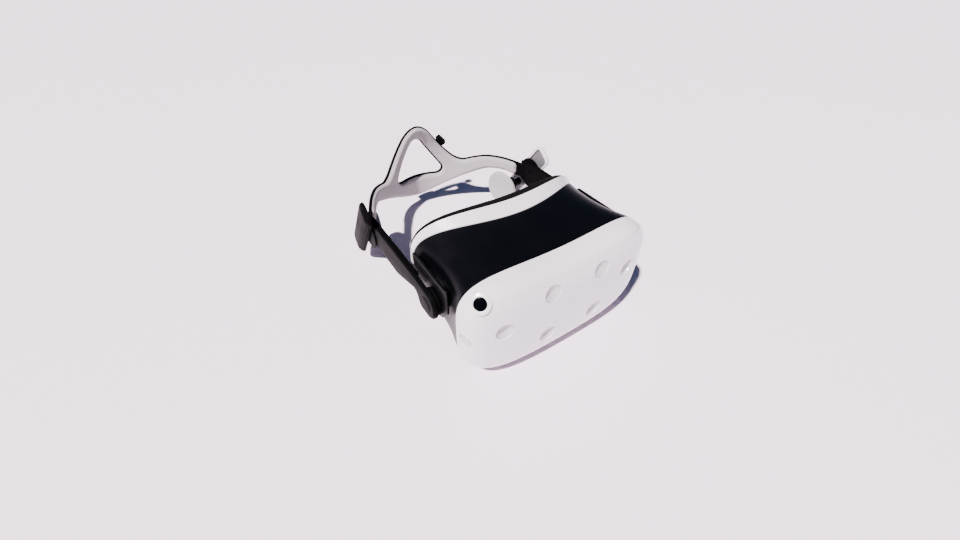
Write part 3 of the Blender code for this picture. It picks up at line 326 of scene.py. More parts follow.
def skin(rows, wrap_rows=False, wrap_columns=True, caps=True):
    """Points and faces over a grid of rows (r, c, 3); an unwrapped tube gets a fan at each end."""
    grid = np.asarray(rows, float)
    count, columns = grid.shape[:2]
    faces = grid_faces(count, columns, wrap_rows, wrap_columns).tolist()
    points = grid.reshape(-1, 3)
    if caps and not wrap_rows:
        ends = grid[[0, -1]].mean(axis=1)
        hub = len(points)
        ring = np.arange(columns)
        after = np.roll(ring, -1)
        last = (count - 1) * columns
        faces += np.stack((np.full(columns, hub), after, ring), axis=1).tolist()
        faces += np.stack((np.full(columns, hub + 1), last + ring, last + after), axis=1).tolist()
        points = np.concatenate((points, ends))
    return points, faces


def made(name, points, faces, weld=0.0):
    """Closed mesh object with its faces outwards, at the origin."""
    mesh = bpy.data.meshes.new(name)
    mesh.from_pydata(np.asarray(points).tolist(), [], list(faces))
    shape = bmesh.new()
    shape.from_mesh(mesh)
    bmesh.ops.remove_doubles(shape, verts=shape.verts, dist=weld or 1e-7)
    bmesh.ops.recalc_face_normals(shape, faces=shape.faces)
    shape.to_mesh(mesh)
    shape.free()
    thing = bpy.data.objects.new(name, mesh)
    bpy.context.scene.collection.objects.link(thing)
    return thing


def dress(thing, finish, body, nodes=(), angle=38.0):
    """Gives a piece its finish, its body and the nodes that it stands for."""
    thing.data.shade_smooth()
    thing.data.set_sharp_from_angle(angle=math.radians(angle))
    thing.data.materials.clear()
    thing.data.materials.append(finish)
    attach(thing, body)
    if nodes:
        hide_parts(*nodes)
    return thing


def axes(direction):
    """Unit vectors along a direction and two across it."""
    along = Vector(direction).normalized()
    across = along.orthogonal().normalized()
    return np.array(along), np.array(across), np.array(along.cross(across))


def rod(radius, start, end):
    """Profile of a plain round bar, a rectangle from the axis out to the radius."""
    return np.array(((AXIS_RADIUS, start), (radius, start), (radius, end), (AXIS_RADIUS, end)))


def turned(profile, origin, direction, sides=96, closed=False):
    """Round surface: a profile of (radius, distance) carried round the line from the origin."""
    along, across, third = axes(direction)
    angle = np.linspace(0.0, TAU, sides, endpoint=False)[None, :, None]
    spoke = np.cos(angle) * across + np.sin(angle) * third
    shape = np.asarray(profile, float)
    rows = np.array(origin) + shape[:, 1, None, None] * along + shape[:, 0, None, None] * spoke
    return skin(rows, wrap_rows=closed)


def cut(target, points, faces, operation="DIFFERENCE"):
    """Takes a closed shape out of the target, or joins it on, and leaves a plain mesh."""
    tool = made(f"{target.name}_tool", points, faces)
    modifier = target.modifiers.new("cut", "BOOLEAN")
    modifier.operation, modifier.solver, modifier.object = operation, "EXACT", tool
    bake(target)
    bpy.data.objects.remove(tool, do_unlink=True)


def bake(target):
    """Replaces the mesh by the one that its modifiers give."""
    graph = bpy.context.evaluated_depsgraph_get()
    mesh = bpy.data.meshes.new_from_object(target.evaluated_get(graph))
    target.modifiers.clear()
    old = target.data
    target.data = mesh
    bpy.data.meshes.remove(old)


def edge_rows(start, end, radius, steps=5):
    """(position, inset) from one face of a slab to the other, a quarter circle at each edge."""
    turn = np.linspace(0.0, 0.5 * math.pi, steps)
    first = np.stack((start + radius * (1.0 - np.cos(turn)), radius * (1.0 - np.sin(turn))), axis=1)
    last = np.stack((end - radius * (1.0 - np.sin(turn)), radius * (1.0 - np.cos(turn))), axis=1)
    return np.concatenate((first, last))


def slab(outline, steps, side=1, crown=None, rings=10):
    """Slab through steps of (x, inset), its outline (y, z) shrinking to the middle of each face.

    The crown, if any, gives what to add to x over the outer face from (y, z).
    """
    middle = outline.mean(axis=0)
    shrink = np.linspace(0.02, 1.0, rings, endpoint=False)
    near, far = offset(outline, steps[0, 1]), offset(outline, steps[-1, 1])
    loops = [middle + (near - middle) * share for share in shrink]
    loops += [offset(outline, inset) for inset in steps[:, 1]]
    loops += [middle + (far - middle) * share for share in shrink[::-1]]
    start, end = steps[0, 0], steps[-1, 0]
    places = np.concatenate((np.full(rings, start), steps[:, 0], np.full(rings, end)))
    flat = np.array(loops)
    x = np.broadcast_to(places[:, None], flat.shape[:2]).copy()
    if crown is not None:
        outer = ease((x - mix(start, end, 0.5)) / (0.45 * (end - start)))
        x += crown(flat[..., 0], flat[..., 1]) * outer
    return skin(np.stack((side * x, flat[..., 0], flat[..., 1]), axis=2))


# Loops of the front unit -------------------------------------------------------------------------

def oval(half_width, rise, drop, corner, centre_z, dip=0.0, nose=0.0, floor=0.0, count=360):
    """Even (x, z) of a squared oval |x/a|^n + |z/b|^n = 1, from the middle of its underside.

    The top's middle sinks by dip, the underside's arches by nose, and nothing is under the floor.
    """
    turn = np.linspace(-0.5 * np.pi, 1.5 * np.pi, 2881)
    x = half_width * signed_power(np.cos(turn), 2.0 / corner)
    height = signed_power(np.sin(turn), 2.0 / corner)
    upper = np.clip(height, 0.0, None)
    lower = np.clip(-height, 0.0, None)
    z = centre_z + rise * upper - drop * lower - dip * (1.0 - (x / half_width) ** 2) * upper
    blend = 1.2 * MM
    z = 0.5 * (z + floor + np.sqrt((z - floor) ** 2 + blend * blend)) - 0.5 * blend * blend / (
        np.abs(z - floor) + blend)
    z = np.maximum(z, floor) + nose * ease(1.0 - np.abs(x) / NOSE_HALF_WIDTH) * lower
    return resample(np.stack((x, z), axis=1)[:-1], count, closed=True).T


def at_depth(x, depth, z):
    """Points from x, depth and height."""
    return np.stack(np.broadcast_arrays(x, RIM_Y + depth, z), axis=-1)


def cover_loop(share, inset=0.0, count=400):
    """Loop of the cover: the rim's oval times the share s, at depth -bulge (1 - s^n)^(1/n)."""
    x, z = oval(COVER["half_width"] - inset, COVER["rise"] - inset, COVER["drop"] - inset,
                COVER["corner"], 0.0, COVER["dip"], floor=-1.0, count=count)
    bulge = (COVER_BULGE - inset) * (1.0 - share ** COVER_DOME) ** (1.0 / COVER_DOME)
    return at_depth(x * share, COVER_SWEEP * (x * share / COVER["half_width"]) ** 2 - bulge,
                    COVER["centre_z"] + z * share)


def cover_shares(rows):
    """Shares at even steps along the cover's profile, from its middle to its rim."""
    share = 1.0 - np.linspace(1.0, 0.0, 4001) ** 2
    bulge = COVER_BULGE * (1.0 - share ** COVER_DOME) ** (1.0 / COVER_DOME)
    along = walked(np.stack((share * COVER["half_width"], bulge), axis=1))
    return np.interp(np.linspace(0.012 * along[-1], along[-1], rows), along, share)


def cover_frames():
    """Skin points of the cover and the directions out of them, on a fine grid."""
    rows = np.array([cover_loop(share) for share in cover_shares(150)])
    down = np.gradient(rows, axis=0)
    around = np.roll(rows, -1, axis=1) - np.roll(rows, 1, axis=1)
    normal = np.cross(down, around)
    normal /= np.linalg.norm(normal, axis=2, keepdims=True)
    normal *= np.where(normal[0, 0, 1] > 0, -1.0, 1.0)
    return rows.reshape(-1, 3), normal.reshape(-1, 3)


def housing_loop(share, inset=0.0, count=360):
    """Loop round the housing, a share of the way from cover to face ring, thinner at the waist."""
    waist = WAIST * 4.0 * share * (1.0 - share)
    x, z = oval(mix(COVER["half_width"], HOUSING["half_width"], share) - waist - inset,
                mix(COVER["rise"], HOUSING["rise"], share) - inset,
                mix(COVER["drop"], HOUSING["drop"], ease(share / FOOT_START)) - inset,
                mix(COVER["corner"], HOUSING["corner"], share),
                mix(COVER["centre_z"], HOUSING["centre_z"], share),
                mix(COVER["dip"], HOUSING["dip"], share), NOSE_RISE * ease((share - 0.5) / 0.5),
                inset, count)
    front = 0.3 * MM + COVER_SWEEP * (x / COVER["half_width"]) ** 2
    rear = HOUSING_DEPTH + HOUSING_SWEEP * (x / HOUSING["half_width"]) ** 2
    return at_depth(x, mix(front, rear, share), z)


def ring_loop(share, inset=0.0, count=360):
    """Loop round the face ring, a share of the way from the housing to the cushion."""
    x, z = oval(mix(HOUSING["half_width"], RING_HALF_WIDTH, share) - inset,
                mix(HOUSING["rise"], RING_RISE, share) - inset, HOUSING["drop"] - inset,
                HOUSING["corner"], HOUSING["centre_z"], HOUSING["dip"], NOSE_RISE, inset, count)
    front = HOUSING_DEPTH + HOUSING_SWEEP * (x / HOUSING["half_width"]) ** 2 + 0.3 * MM
    rear = RING_DEPTH + RING_SWEEP * (x / RING_HALF_WIDTH) ** 2
    return at_depth(x, mix(front, rear, share), z)


def cushion_loop(inset, back, count=300):
    """Loop of the face cushion: back is 0 on the ring and 1 where the face touches it."""
    x, z = oval(CUSHION_HALF_WIDTH - inset, CUSHION_RISE - inset,
                HOUSING["drop"] - 0.3 * MM - inset, HOUSING["corner"], HOUSING["centre_z"],
                HOUSING["dip"], NOSE_RISE, inset + 4.0 * MM, count)
    front = RING_DEPTH + RING_SWEEP * (x / RING_HALF_WIDTH) ** 2 + 0.6 * MM
    rear = CUSHION_DEPTH + CUSHION_SWEEP * (x / CUSHION_HALF_WIDTH) ** 2
    return at_depth(x, mix(front, rear, back), z)


# Finishes ----------------------------------------------------------------------------------------

def group(name, sockets, build):
    """Node group with (name, kind, default) inputs; build gives {output: (kind, socket)}."""
    if name in bpy.data.node_groups:
        return bpy.data.node_groups[name]
    tree = bpy.data.node_groups.new(name, "ShaderNodeTree")
    for label, kind, value in sockets:
        socket = tree.interface.new_socket(label, in_out="INPUT", socket_type=kind)
        if value is not None:
            socket.default_value = value
    enter = tree.nodes.new("NodeGroupInput")
    leave = tree.nodes.new("NodeGroupOutput")
    for label, (kind, source) in build(tree, enter.outputs).items():
        tree.interface.new_socket(label, in_out="OUTPUT", socket_type=kind)
        tree.links.new(source, leave.inputs[label])
    return tree


def node(tree, kind, inputs=(), **settings):
    """Node with its settings, and its inputs linked or set by name or number."""
    new = tree.nodes.new(kind)
    for label, value in settings.items():
        setattr(new, label, value)
    for label, value in dict(inputs).items():
        if isinstance(value, bpy.types.NodeSocket):
            tree.links.new(value, new.inputs[label])
        else:
            new.inputs[label].default_value = value
    return new


def object_place(tree):
    """Object coordinates."""
    return node(tree, "ShaderNodeTexCoord").outputs["Object"]


def math_node(tree, operation, first, second=0.0):
    """Result of a sum on two values."""
    return node(tree, "ShaderNodeMath", {0: first, 1: second}, operation=operation).outputs[0]


def ramp(tree, value, low, high, clamp=True):
    """Value mapped from low..high to 0..1."""
    return node(tree, "ShaderNodeMapRange", {"Value": value, "From Min": low, "From Max": high},
                clamp=clamp).outputs["Result"]


def blend_colour(tree, factor, first, second):
    """Colour a share of the way from the first to the second; each is a colour or a socket."""
    both = tree.nodes.new("ShaderNodeMix")
    both.data_type = "RGBA"
    tree.links.new(factor, both.inputs["Factor"])
    ends = [socket for socket in both.inputs if socket.type == "RGBA"]
    for end, value in zip(ends, (first, second)):
        if isinstance(value, bpy.types.NodeSocket):
            tree.links.new(value, end)
        else:
            end.default_value = (*value, 1.0)
    return next(socket for socket in both.outputs if socket.type == "RGBA")


def grain_group():
    """Moulded grain: fine noise over a slow ripple, as a bump."""
    def build(tree, given):
        place = object_place(tree)
        fine = node(tree, "ShaderNodeTexNoise", {"Vector": place, "Scale": given["Scale"],
                                                 "Detail": 3.0})
        slow = node(tree, "ShaderNodeTexNoise", {"Vector": place, "Scale": 45.0, "Detail": 1.0})
        height = math_node(tree, "ADD", fine.outputs["Fac"],
                           math_node(tree, "MULTIPLY", slow.outputs["Fac"], 1.6))
        bump = node(tree, "ShaderNodeBump", {"Height": height, "Strength": given["Strength"],
                                             "Distance": 0.00012})
        return {"Normal": ("NodeSocketVector", bump.outputs["Normal"])}
    return group("Moulded grain", (("Scale", "NodeSocketFloat", 2600.0),
                                   ("Strength", "NodeSocketFloat", 0.2)),
                 build)


def handling_group():
    """Handling marks: soft smudges and short fine scuffs, as a mask from 0 to 1."""
    def build(tree, given):
        place = object_place(tree)
        smudge = node(tree, "ShaderNodeTexNoise", {"Vector": place, "Scale": 38.0, "Detail": 4.0,
                                                   "Roughness": 0.62})
        drawn = node(tree, "ShaderNodeMapping", {"Vector": place, "Scale": (30.0, 420.0, 260.0),
                                                 "Rotation": (0.4, 0.2, 0.5)})
        scuff = node(tree, "ShaderNodeTexNoise", {"Vector": drawn.outputs["Vector"], "Scale": 1.0,
                                                  "Detail": 2.0})
        soft = ramp(tree, smudge.outputs["Fac"], 0.42, 0.72)
        sharp = ramp(tree, scuff.outputs["Fac"], 0.66, 0.72)
        both = math_node(tree, "MAXIMUM", soft, math_node(tree, "MULTIPLY", sharp, 0.8))
        return {"Mask": ("NodeSocketFloat", math_node(tree, "MULTIPLY", both, given["Amount"]))}
    return group("Handling marks", (("Amount", "NodeSocketFloat", 1.0),), build)


def edge_group():
    """Edge light: 1 along rounded outer edges, from the surface's pointiness."""
    def build(tree, given):
        sharpness = node(tree, "ShaderNodeNewGeometry").outputs["Pointiness"]
        return {"Mask": ("NodeSocketFloat", ramp(tree, sharpness, 0.52, given["Full"]))}
    return group("Worn edge", (("Full", "NodeSocketFloat", 0.62),), build)


def cloth_group():
    """Knitted cloth: stitches in rows one thread apart, with fibres, as a bump and a shade."""
    def build(tree, given):
        place = object_place(tree)
        scale = math_node(tree, "DIVIDE", 1.0, given["Thread"])
        cells = node(tree, "ShaderNodeTexVoronoi", {"Vector": place, "Scale": scale,
                                                    "Randomness": 0.35},
                     feature="SMOOTH_F1")
        rows = node(tree, "ShaderNodeTexWave", {"Vector": place,
                                                "Scale": math_node(tree, "MULTIPLY", scale, 0.16),
                                                "Distortion": 0.6, "Detail": 1.0},
                    bands_direction="Z")
        fibre = node(tree, "ShaderNodeTexNoise", {"Vector": place,
                                                  "Scale": math_node(tree, "MULTIPLY", scale, 3.0),
                                                  "Detail": 3.0})
        stitch = math_node(tree, "SUBTRACT", 1.0, cells.outputs["Distance"])
        height = math_node(tree, "ADD", math_node(tree, "MULTIPLY", stitch, 0.8),
                           math_node(tree, "MULTIPLY", rows.outputs["Fac"], 0.3))
        height = math_node(tree, "ADD", height, math_node(tree, "MULTIPLY", fibre.outputs["Fac"],
                                                          0.25))
        bump = node(tree, "ShaderNodeBump", {"Height": height, "Strength": 0.35,
                                             "Distance": given["Thread"]})
        return {"Normal": ("NodeSocketVector", bump.outputs["Normal"]),
                "Shade": ("NodeSocketFloat", ramp(tree, stitch, 0.25, 0.95))}
    return group("Knitted cloth", (("Thread", "NodeSocketFloat", 0.0008),), build)


def foam_group():
    """Open foam: pores of two sizes and soft lumps, as a bump and a pore mask."""
    def build(tree, given):
        place = object_place(tree)
        scale = math_node(tree, "DIVIDE", 1.0, given["Cell"])
        large = node(tree, "ShaderNodeTexVoronoi", {"Vector": place, "Scale": scale})
        small = node(tree, "ShaderNodeTexVoronoi", {"Vector": place,
                                                    "Scale": math_node(tree, "MULTIPLY", scale,
                                                                       2.3)})
        lumps = node(tree, "ShaderNodeTexNoise", {"Vector": place, "Scale": 90.0, "Detail": 2.0})
        pores = math_node(tree, "ADD", large.outputs["Distance"],
                          math_node(tree, "MULTIPLY", small.outputs["Distance"], 0.5))
        height = math_node(tree, "ADD", pores, lumps.outputs["Fac"])
        bump = node(tree, "ShaderNodeBump", {"Height": height, "Strength": 0.5,
                                             "Distance": given["Cell"]})
        return {"Normal": ("NodeSocketVector", bump.outputs["Normal"]),
                "Pores": ("NodeSocketFloat", ramp(tree, pores, 0.1, 0.7))}
    return group("Open foam", (("Cell", "NodeSocketFloat", 0.0007),), build)


def started(name):
    """New material, its node tree and its Principled shader."""
    material = bpy.data.materials.new(name)
    material.use_nodes = True
    return material, material.node_tree, material.node_tree.nodes["Principled BSDF"]


def plastic(name, base, roughness, coat=0.0, grain=0.2, scale=2600.0, marks=0.12, edge=0.0,
            spread=0.05, shine=0.5):
    """Moulded plastic: grain as bump, marks as roughness, paler worn edges, slow colour change."""
    if name in bpy.data.materials:
        return bpy.data.materials[name]
    material, tree, shader = started(name)
    grained = node(tree, "ShaderNodeGroup", node_tree=grain_group())
    grained.inputs["Scale"].default_value = scale
    grained.inputs["Strength"].default_value = grain
    tree.links.new(grained.outputs["Normal"], shader.inputs["Normal"])
    handled = node(tree, "ShaderNodeGroup", node_tree=handling_group())
    handled.inputs["Amount"].default_value = marks
    tree.links.new(math_node(tree, "ADD", handled.outputs["Mask"], roughness),
                   shader.inputs["Roughness"])
    place = object_place(tree)
    cloud = node(tree, "ShaderNodeTexNoise", {"Vector": place, "Scale": 24.0, "Detail": 2.0})
    dark = tuple(channel * (1.0 - spread) for channel in base)
    tone = blend_colour(tree, cloud.outputs["Fac"], dark, base)
    worn = node(tree, "ShaderNodeGroup", node_tree=edge_group())
    lifted = tuple(channel + (0.9 - channel) * edge for channel in base)
    tree.links.new(blend_colour(tree, worn.outputs["Mask"], tone, lifted),
                   shader.inputs["Base Color"])
    shader.inputs["Specular IOR Level"].default_value = shine
    shader.inputs["Coat Weight"].default_value = coat
    shader.inputs["Coat Roughness"].default_value = 0.08
    return material


def white_finish():
    """Glossy white plastic of the cover."""
    return plastic("Gloss white", tuple(colours().white), 0.26, coat=0.9, grain=0.05, scale=900.0,
                   marks=0.05, spread=0.015)


def window_finish():
    """White plastic of the tracking windows, darkened below the cover's white as painted shade of
    the recesses.
    """
    return plastic("Window white", tuple(WINDOW_SHADE_TONE * channel for channel in colours().white),
                   0.30, coat=0.4, grain=0.05, scale=900.0, marks=0.04, spread=0.015)


def black_finish():
    """Satin black plastic of the housing."""
    return plastic("Satin black", tuple(colours().black), 0.36, grain=0.10, scale=3200.0,
                   marks=0.09, edge=0.002, spread=0.2, shine=0.10)


def strap_finish():
    """Textured black plastic of the strap."""
    return plastic("Strap black", tuple(colours().strap), 0.48, grain=0.30, scale=2400.0,
                   marks=0.10, edge=0.0012, spread=0.15, shine=0.02)


def grey_finish():
    """Dark grey plastic of the arms' outer faces."""
    return plastic("Arm grey", tuple(colours().grey), 0.48, grain=0.26, scale=2400.0, marks=0.08,
                   edge=0.004, spread=0.10, shine=0.02)


def track_finish():
    """Mid grey plastic inside the earphone bars."""
    return plastic("Track grey", tuple(colours().track), 0.50, grain=0.24, scale=2200.0, marks=0.06,
                   edge=0.1, spread=0.08)


def barrel_finish():
    """Matt black of the eye tubes."""
    return plastic("Tube black", (0.012, 0.012, 0.012), 0.62, grain=0.35, scale=1800.0, marks=0.05,
                   spread=0.2)


def cloth_finish():
    """Off-white knitted cloth."""
    if "Pad cloth" in bpy.data.materials:
        return bpy.data.materials["Pad cloth"]
    material, tree, shader = started("Pad cloth")
    knit = node(tree, "ShaderNodeGroup", node_tree=cloth_group())
    knit.inputs["Thread"].default_value = sizes().weave
    tree.links.new(knit.outputs["Normal"], shader.inputs["Normal"])
    base = tuple(colours().cloth)
    place = object_place(tree)
    cloud = node(tree, "ShaderNodeTexNoise", {"Vector": place, "Scale": 16.0, "Detail": 3.0})
    shade = math_node(tree, "ADD", math_node(tree, "MULTIPLY", knit.outputs["Shade"], 0.6), 0.2)
    factor = math_node(tree, "MULTIPLY", math_node(tree, "ADD", shade, cloud.outputs["Fac"]), 0.62)
    dark = tuple(0.80 * channel for channel in base)
    tree.links.new(blend_colour(tree, factor, dark, base), shader.inputs["Base Color"])
    shader.inputs["Roughness"].default_value = 0.88
    shader.inputs["Sheen Weight"].default_value = 0.25
    shader.inputs["Sheen Roughness"].default_value = 0.5
    return material


def foam_finish():
    """Black open foam with a soft skin."""
    if "Face foam" in bpy.data.materials:
        return bpy.data.materials["Face foam"]
    material, tree, shader = started("Face foam")
    pores = node(tree, "ShaderNodeGroup", node_tree=foam_group())
    pores.inputs["Cell"].default_value = sizes().foam_cell
    tree.links.new(pores.outputs["Normal"], shader.inputs["Normal"])
    base = tuple(colours().foam)
    dark, pale = (tuple(share * channel for channel in base) for share in (0.5, 1.4))
    tree.links.new(blend_colour(tree, pores.outputs["Pores"], dark, pale),
                   shader.inputs["Base Color"])
    shader.inputs["Roughness"].default_value = 0.92
    shader.inputs["Specular IOR Level"].default_value = 0.1
    shader.inputs["Sheen Weight"].default_value = 0.004
    return material


def polished(name, base, roughness=0.06, coat=0.2):
    """Polished dark glass with faint dust."""
    if name in bpy.data.materials:
        return bpy.data.materials[name]
    material, tree, shader = started(name)
    place = object_place(tree)
    dust = node(tree, "ShaderNodeTexNoise", {"Vector": place, "Scale": 900.0, "Detail": 4.0})
    mask = ramp(tree, dust.outputs["Fac"], 0.6, 0.8)
    tree.links.new(math_node(tree, "ADD", math_node(tree, "MULTIPLY", mask, 0.2), roughness),
                   shader.inputs["Roughness"])
    shader.inputs["Base Color"].default_value = (*base, 1.0)
    shader.inputs["Specular IOR Level"].default_value = 0.2
    shader.inputs["Coat Weight"].default_value = coat
    return material


def camera_glass():
    """Near-black glass of the camera and of the sensor inside."""
    return polished("Camera glass", (0.0006, 0.0006, 0.0008))


def lens_finish():
    """Clear lens with fine concentric steps."""
    if "Clear lens" in bpy.data.materials:
        return bpy.data.materials["Clear lens"]
    material, tree, shader = started("Clear lens")
    place = object_place(tree)
    folded = node(tree, "ShaderNodeSeparateXYZ", {"Vector": place})
    across = math_node(tree, "SUBTRACT", math_node(tree, "ABSOLUTE", folded.outputs["X"]),
                       EYE_HALF_DISTANCE)
    up = math_node(tree, "SUBTRACT", folded.outputs["Z"], EYE_HEIGHT)
    radius = math_node(tree, "SQRT", math_node(tree, "ADD",
                                               math_node(tree, "MULTIPLY", across, across),
                                               math_node(tree, "MULTIPLY", up, up)))
    steps = math_node(tree, "FRACT", math_node(tree, "MULTIPLY", radius, 1100.0))
    bump = node(tree, "ShaderNodeBump", {"Height": steps, "Strength": 0.25, "Distance": 0.0001})
    tree.links.new(bump.outputs["Normal"], shader.inputs["Normal"])
    shader.inputs["Base Color"].default_value = (0.86, 0.90, 0.93, 1.0)
    shader.inputs["Roughness"].default_value = 0.03
    shader.inputs["Transmission Weight"].default_value = 0.9
    shader.inputs["IOR"].default_value = 1.49
    return material


def metal_finish():
    """Brushed aluminium, its brushing along X."""
    if "Brushed metal" in bpy.data.materials:
        return bpy.data.materials["Brushed metal"]
    material, tree, shader = started("Brushed metal")
    place = object_place(tree)
    drawn = node(tree, "ShaderNodeMapping", {"Vector": place, "Scale": (40.0, 3000.0, 3000.0)})
    brush = node(tree, "ShaderNodeTexNoise", {"Vector": drawn.outputs["Vector"], "Scale": 1.0,
                                              "Detail": 3.0})
    bump = node(tree, "ShaderNodeBump", {"Height": brush.outputs["Fac"], "Strength": 0.25,
                                         "Distance": 0.0001})
    tree.links.new(bump.outputs["Normal"], shader.inputs["Normal"])
    tree.links.new(ramp(tree, brush.outputs["Fac"], -0.6, 1.8), shader.inputs["Roughness"])
    shader.inputs["Base Color"].default_value = (0.60, 0.61, 0.63, 1.0)
    shader.inputs["Metallic"].default_value = 1.0
    return material


def board_finish():
    """Green lacquered board with paler traces."""
    if "Board green" in bpy.data.materials:
        return bpy.data.materials["Board green"]
    material, tree, shader = started("Board green")
    place = object_place(tree)
    blocks = node(tree, "ShaderNodeTexVoronoi", {"Vector": place, "Scale": 220.0},
                  distance="CHEBYCHEV")
    trace = ramp(tree, blocks.outputs["Distance"], 0.42, 0.5)
    tone = blend_colour(tree, trace, (0.012, 0.070, 0.036), (0.05, 0.20, 0.10))
    tree.links.new(tone, shader.inputs["Base Color"])
    shader.inputs["Roughness"].default_value = 0.35
    return material


def floor_finish():
    """Pale matt floor with a very slight tone change."""
    material, tree, shader = started("Pale floor")
    place = object_place(tree)
    cloud = node(tree, "ShaderNodeTexNoise", {"Vector": place, "Scale": 1.2, "Detail": 2.0})
    tone = blend_colour(tree, cloud.outputs["Fac"], (0.790, 0.690, 0.770), (0.830, 0.730, 0.810))
    tree.links.new(tone, shader.inputs["Base Color"])
    shader.inputs["Roughness"].default_value = 0.6
    return material


# Shapes shared by several pieces -----------------------------------------------------------------

def plate(outline, start, end, radius, side=1):
    """Slab between two x values with rounded edges and one flat face a side; outline is (y, z)."""
    edges = edge_rows(start, end, radius)
    loops = np.array([offset(outline, inset) for inset in edges[:, 1]])
    x = np.broadcast_to(edges[:, 0, None], loops.shape[:2])
    points, faces = skin(np.stack((side * x, loops[..., 0], loops[..., 1]), axis=2), caps=False)
    count = len(outline)
    last = len(points) - count
    return points, [*faces, list(range(count)), list(range(last, last + count))]


def prism(outline, axis, start, end):
    """Straight prism along x (0) or y (1) over an outline in the other two coordinates."""
    flat = np.asarray(outline, float)
    rows = np.repeat(flat[None], 2, axis=0)
    along = np.broadcast_to(np.array((start, end))[:, None], rows.shape[:2])
    both = (along, rows[..., 0], rows[..., 1]) if axis == 0 else (rows[..., 0], along, rows[..., 1])
    points, faces = skin(np.stack(both, axis=2), caps=False)
    count = len(flat)
    return points, [*faces, list(range(count)), list(range(count, 2 * count))]


def block(centre, size):
    """Box about a centre."""
    a, b = np.array(centre) - 0.5 * np.array(size), np.array(centre) + 0.5 * np.array(size)
    square = ((a[1], a[2]), (b[1], a[2]), (b[1], b[2]), (a[1], b[2]))
    return prism(square, 0, a[0], b[0])


def at_side(depth, z, x=0.0):
    """Place on the side of the headset, from its depth and height."""
    return np.array((x, RIM_Y + depth, z))


def side_outline(corners, steps=14):
    """Rounded outline (y, z) through (depth, z, radius) corners given in millimetres."""
    places = np.array(corners, float) * MM
    places[:, 0] += RIM_Y
    return rounded(places, steps)


def fluted(profile, origin, direction, flutes, depth, sides=288):
    """Turned surface, cut by shallow flutes where the radius is over 0.9 of the largest.

    The radius there is multiplied by 1 - depth (1 + cos(flutes a)) / 2.
    """
    along, across, third = axes(direction)
    angle = np.linspace(0.0, TAU, sides, endpoint=False)
    shape = np.asarray(profile, float)
    rim = ease((shape[:, 0] / shape[:, 0].max() - 0.9) / 0.08)
    radius = shape[:, :1] * (1.0 - rim[:, None] * depth * 0.5 * (1.0 + np.cos(flutes * angle)))
    spoke = np.cos(angle)[:, None] * across + np.sin(angle)[:, None] * third
    rows = np.array(origin) + shape[:, 1, None, None] * along + radius[..., None] * spoke
    return skin(rows)


def on_cover(x, z):
    """Point of the cover's skin in front of (x, z), and the direction out of it."""
    points, normals = on_cover.frames
    nearest = np.argmin((points[:, 0] - x) ** 2 + (points[:, 2] - z) ** 2
                        + 1e3 * (points[:, 1] > RIM_Y + 3.0 * MM))
    return points[nearest], normals[nearest]


on_cover.frames = cover_frames()


def cradle_plan(angle):
    """The pad's back curve from above, x = a cos^(2/m), y = b sin^(2/n), and its normals."""
    circle = np.stack((np.cos(np.radians(angle)), np.sin(np.radians(angle))), axis=-1)
    powers = np.array(CRADLE_POWERS)
    reach = np.array((CRADLE_HALF_WIDTH, CRADLE_REACH))
    normal = powers * signed_power(circle, 2.0 - 2.0 / powers) / reach
    normal = normal / np.linalg.norm(normal, axis=-1, keepdims=True)
    return reach * signed_power(circle, 2.0 / powers), normal


def on_cradle(angle, outwards, z):
    """Points at an angle round the cradle, outwards from the pad's back curve, at a height."""
    angle, outwards, z = np.broadcast_arrays(angle, outwards, z)
    point, normal = cradle_plan(angle)
    place = point + outwards[..., None] * normal
    lean = CRADLE_LEAN * np.clip((z / MM - CRADLE_LEAN_FROM) / CRADLE_LEAN_SPAN, 0.0, None) ** 2
    depth = CRADLE_DEPTH + place[..., 1] - lean * np.sin(np.radians(angle))
    return at_depth(place[..., 0], depth, z)


def edge_height(table, angle):
    """Heights of a cradle edge, a cubic with matched slopes through the table's points."""
    folded = np.minimum(angle, 180.0 - angle)
    slopes = np.gradient(table[:, 1], table[:, 0])
    slopes[[0, -1]] = 0.0
    k = np.clip(np.searchsorted(table[:, 0], folded) - 1, 0, len(table) - 2)
    span = table[k + 1, 0] - table[k, 0]
    share = (folded - table[k, 0]) / span
    bend = span * share * (1.0 - share) * (slopes[k] * (1.0 - share) - slopes[k + 1] * share)
    return (mix(table[k, 1], table[k + 1, 1], ease(share)) + bend) * MM


def window_outline(growth, steps=16):
    """Triangular opening of the cradle, larger all round by the growth, as (x, z)."""
    corners = []
    for x, z, radius in WINDOW:
        away = np.array((x, z - WINDOW_MIDDLE_Z))
        x, z = away * (1.0 + 2.0 * growth / np.linalg.norm(away))
        corners.append((x, z + WINDOW_MIDDLE_Z, radius + growth))
    return rounded(corners, steps)


def cut_window(target, growth):
    """Cuts the triangular opening, larger all round by the growth, through a piece."""
    cut(target, *prism(window_outline(growth), 1, CRADLE_BACK - 45.0 * MM, CRADLE_BACK + 20.0 * MM))


def angle_at(x, outwards):
    """Angles round the cradle at which a surface some way outwards crosses the given x."""
    angle = np.linspace(30.0, 150.0, 1201)
    point, normal = cradle_plan(angle)
    across = point[:, 0] + outwards * normal[:, 0]
    return np.interp(-x, -across, angle)


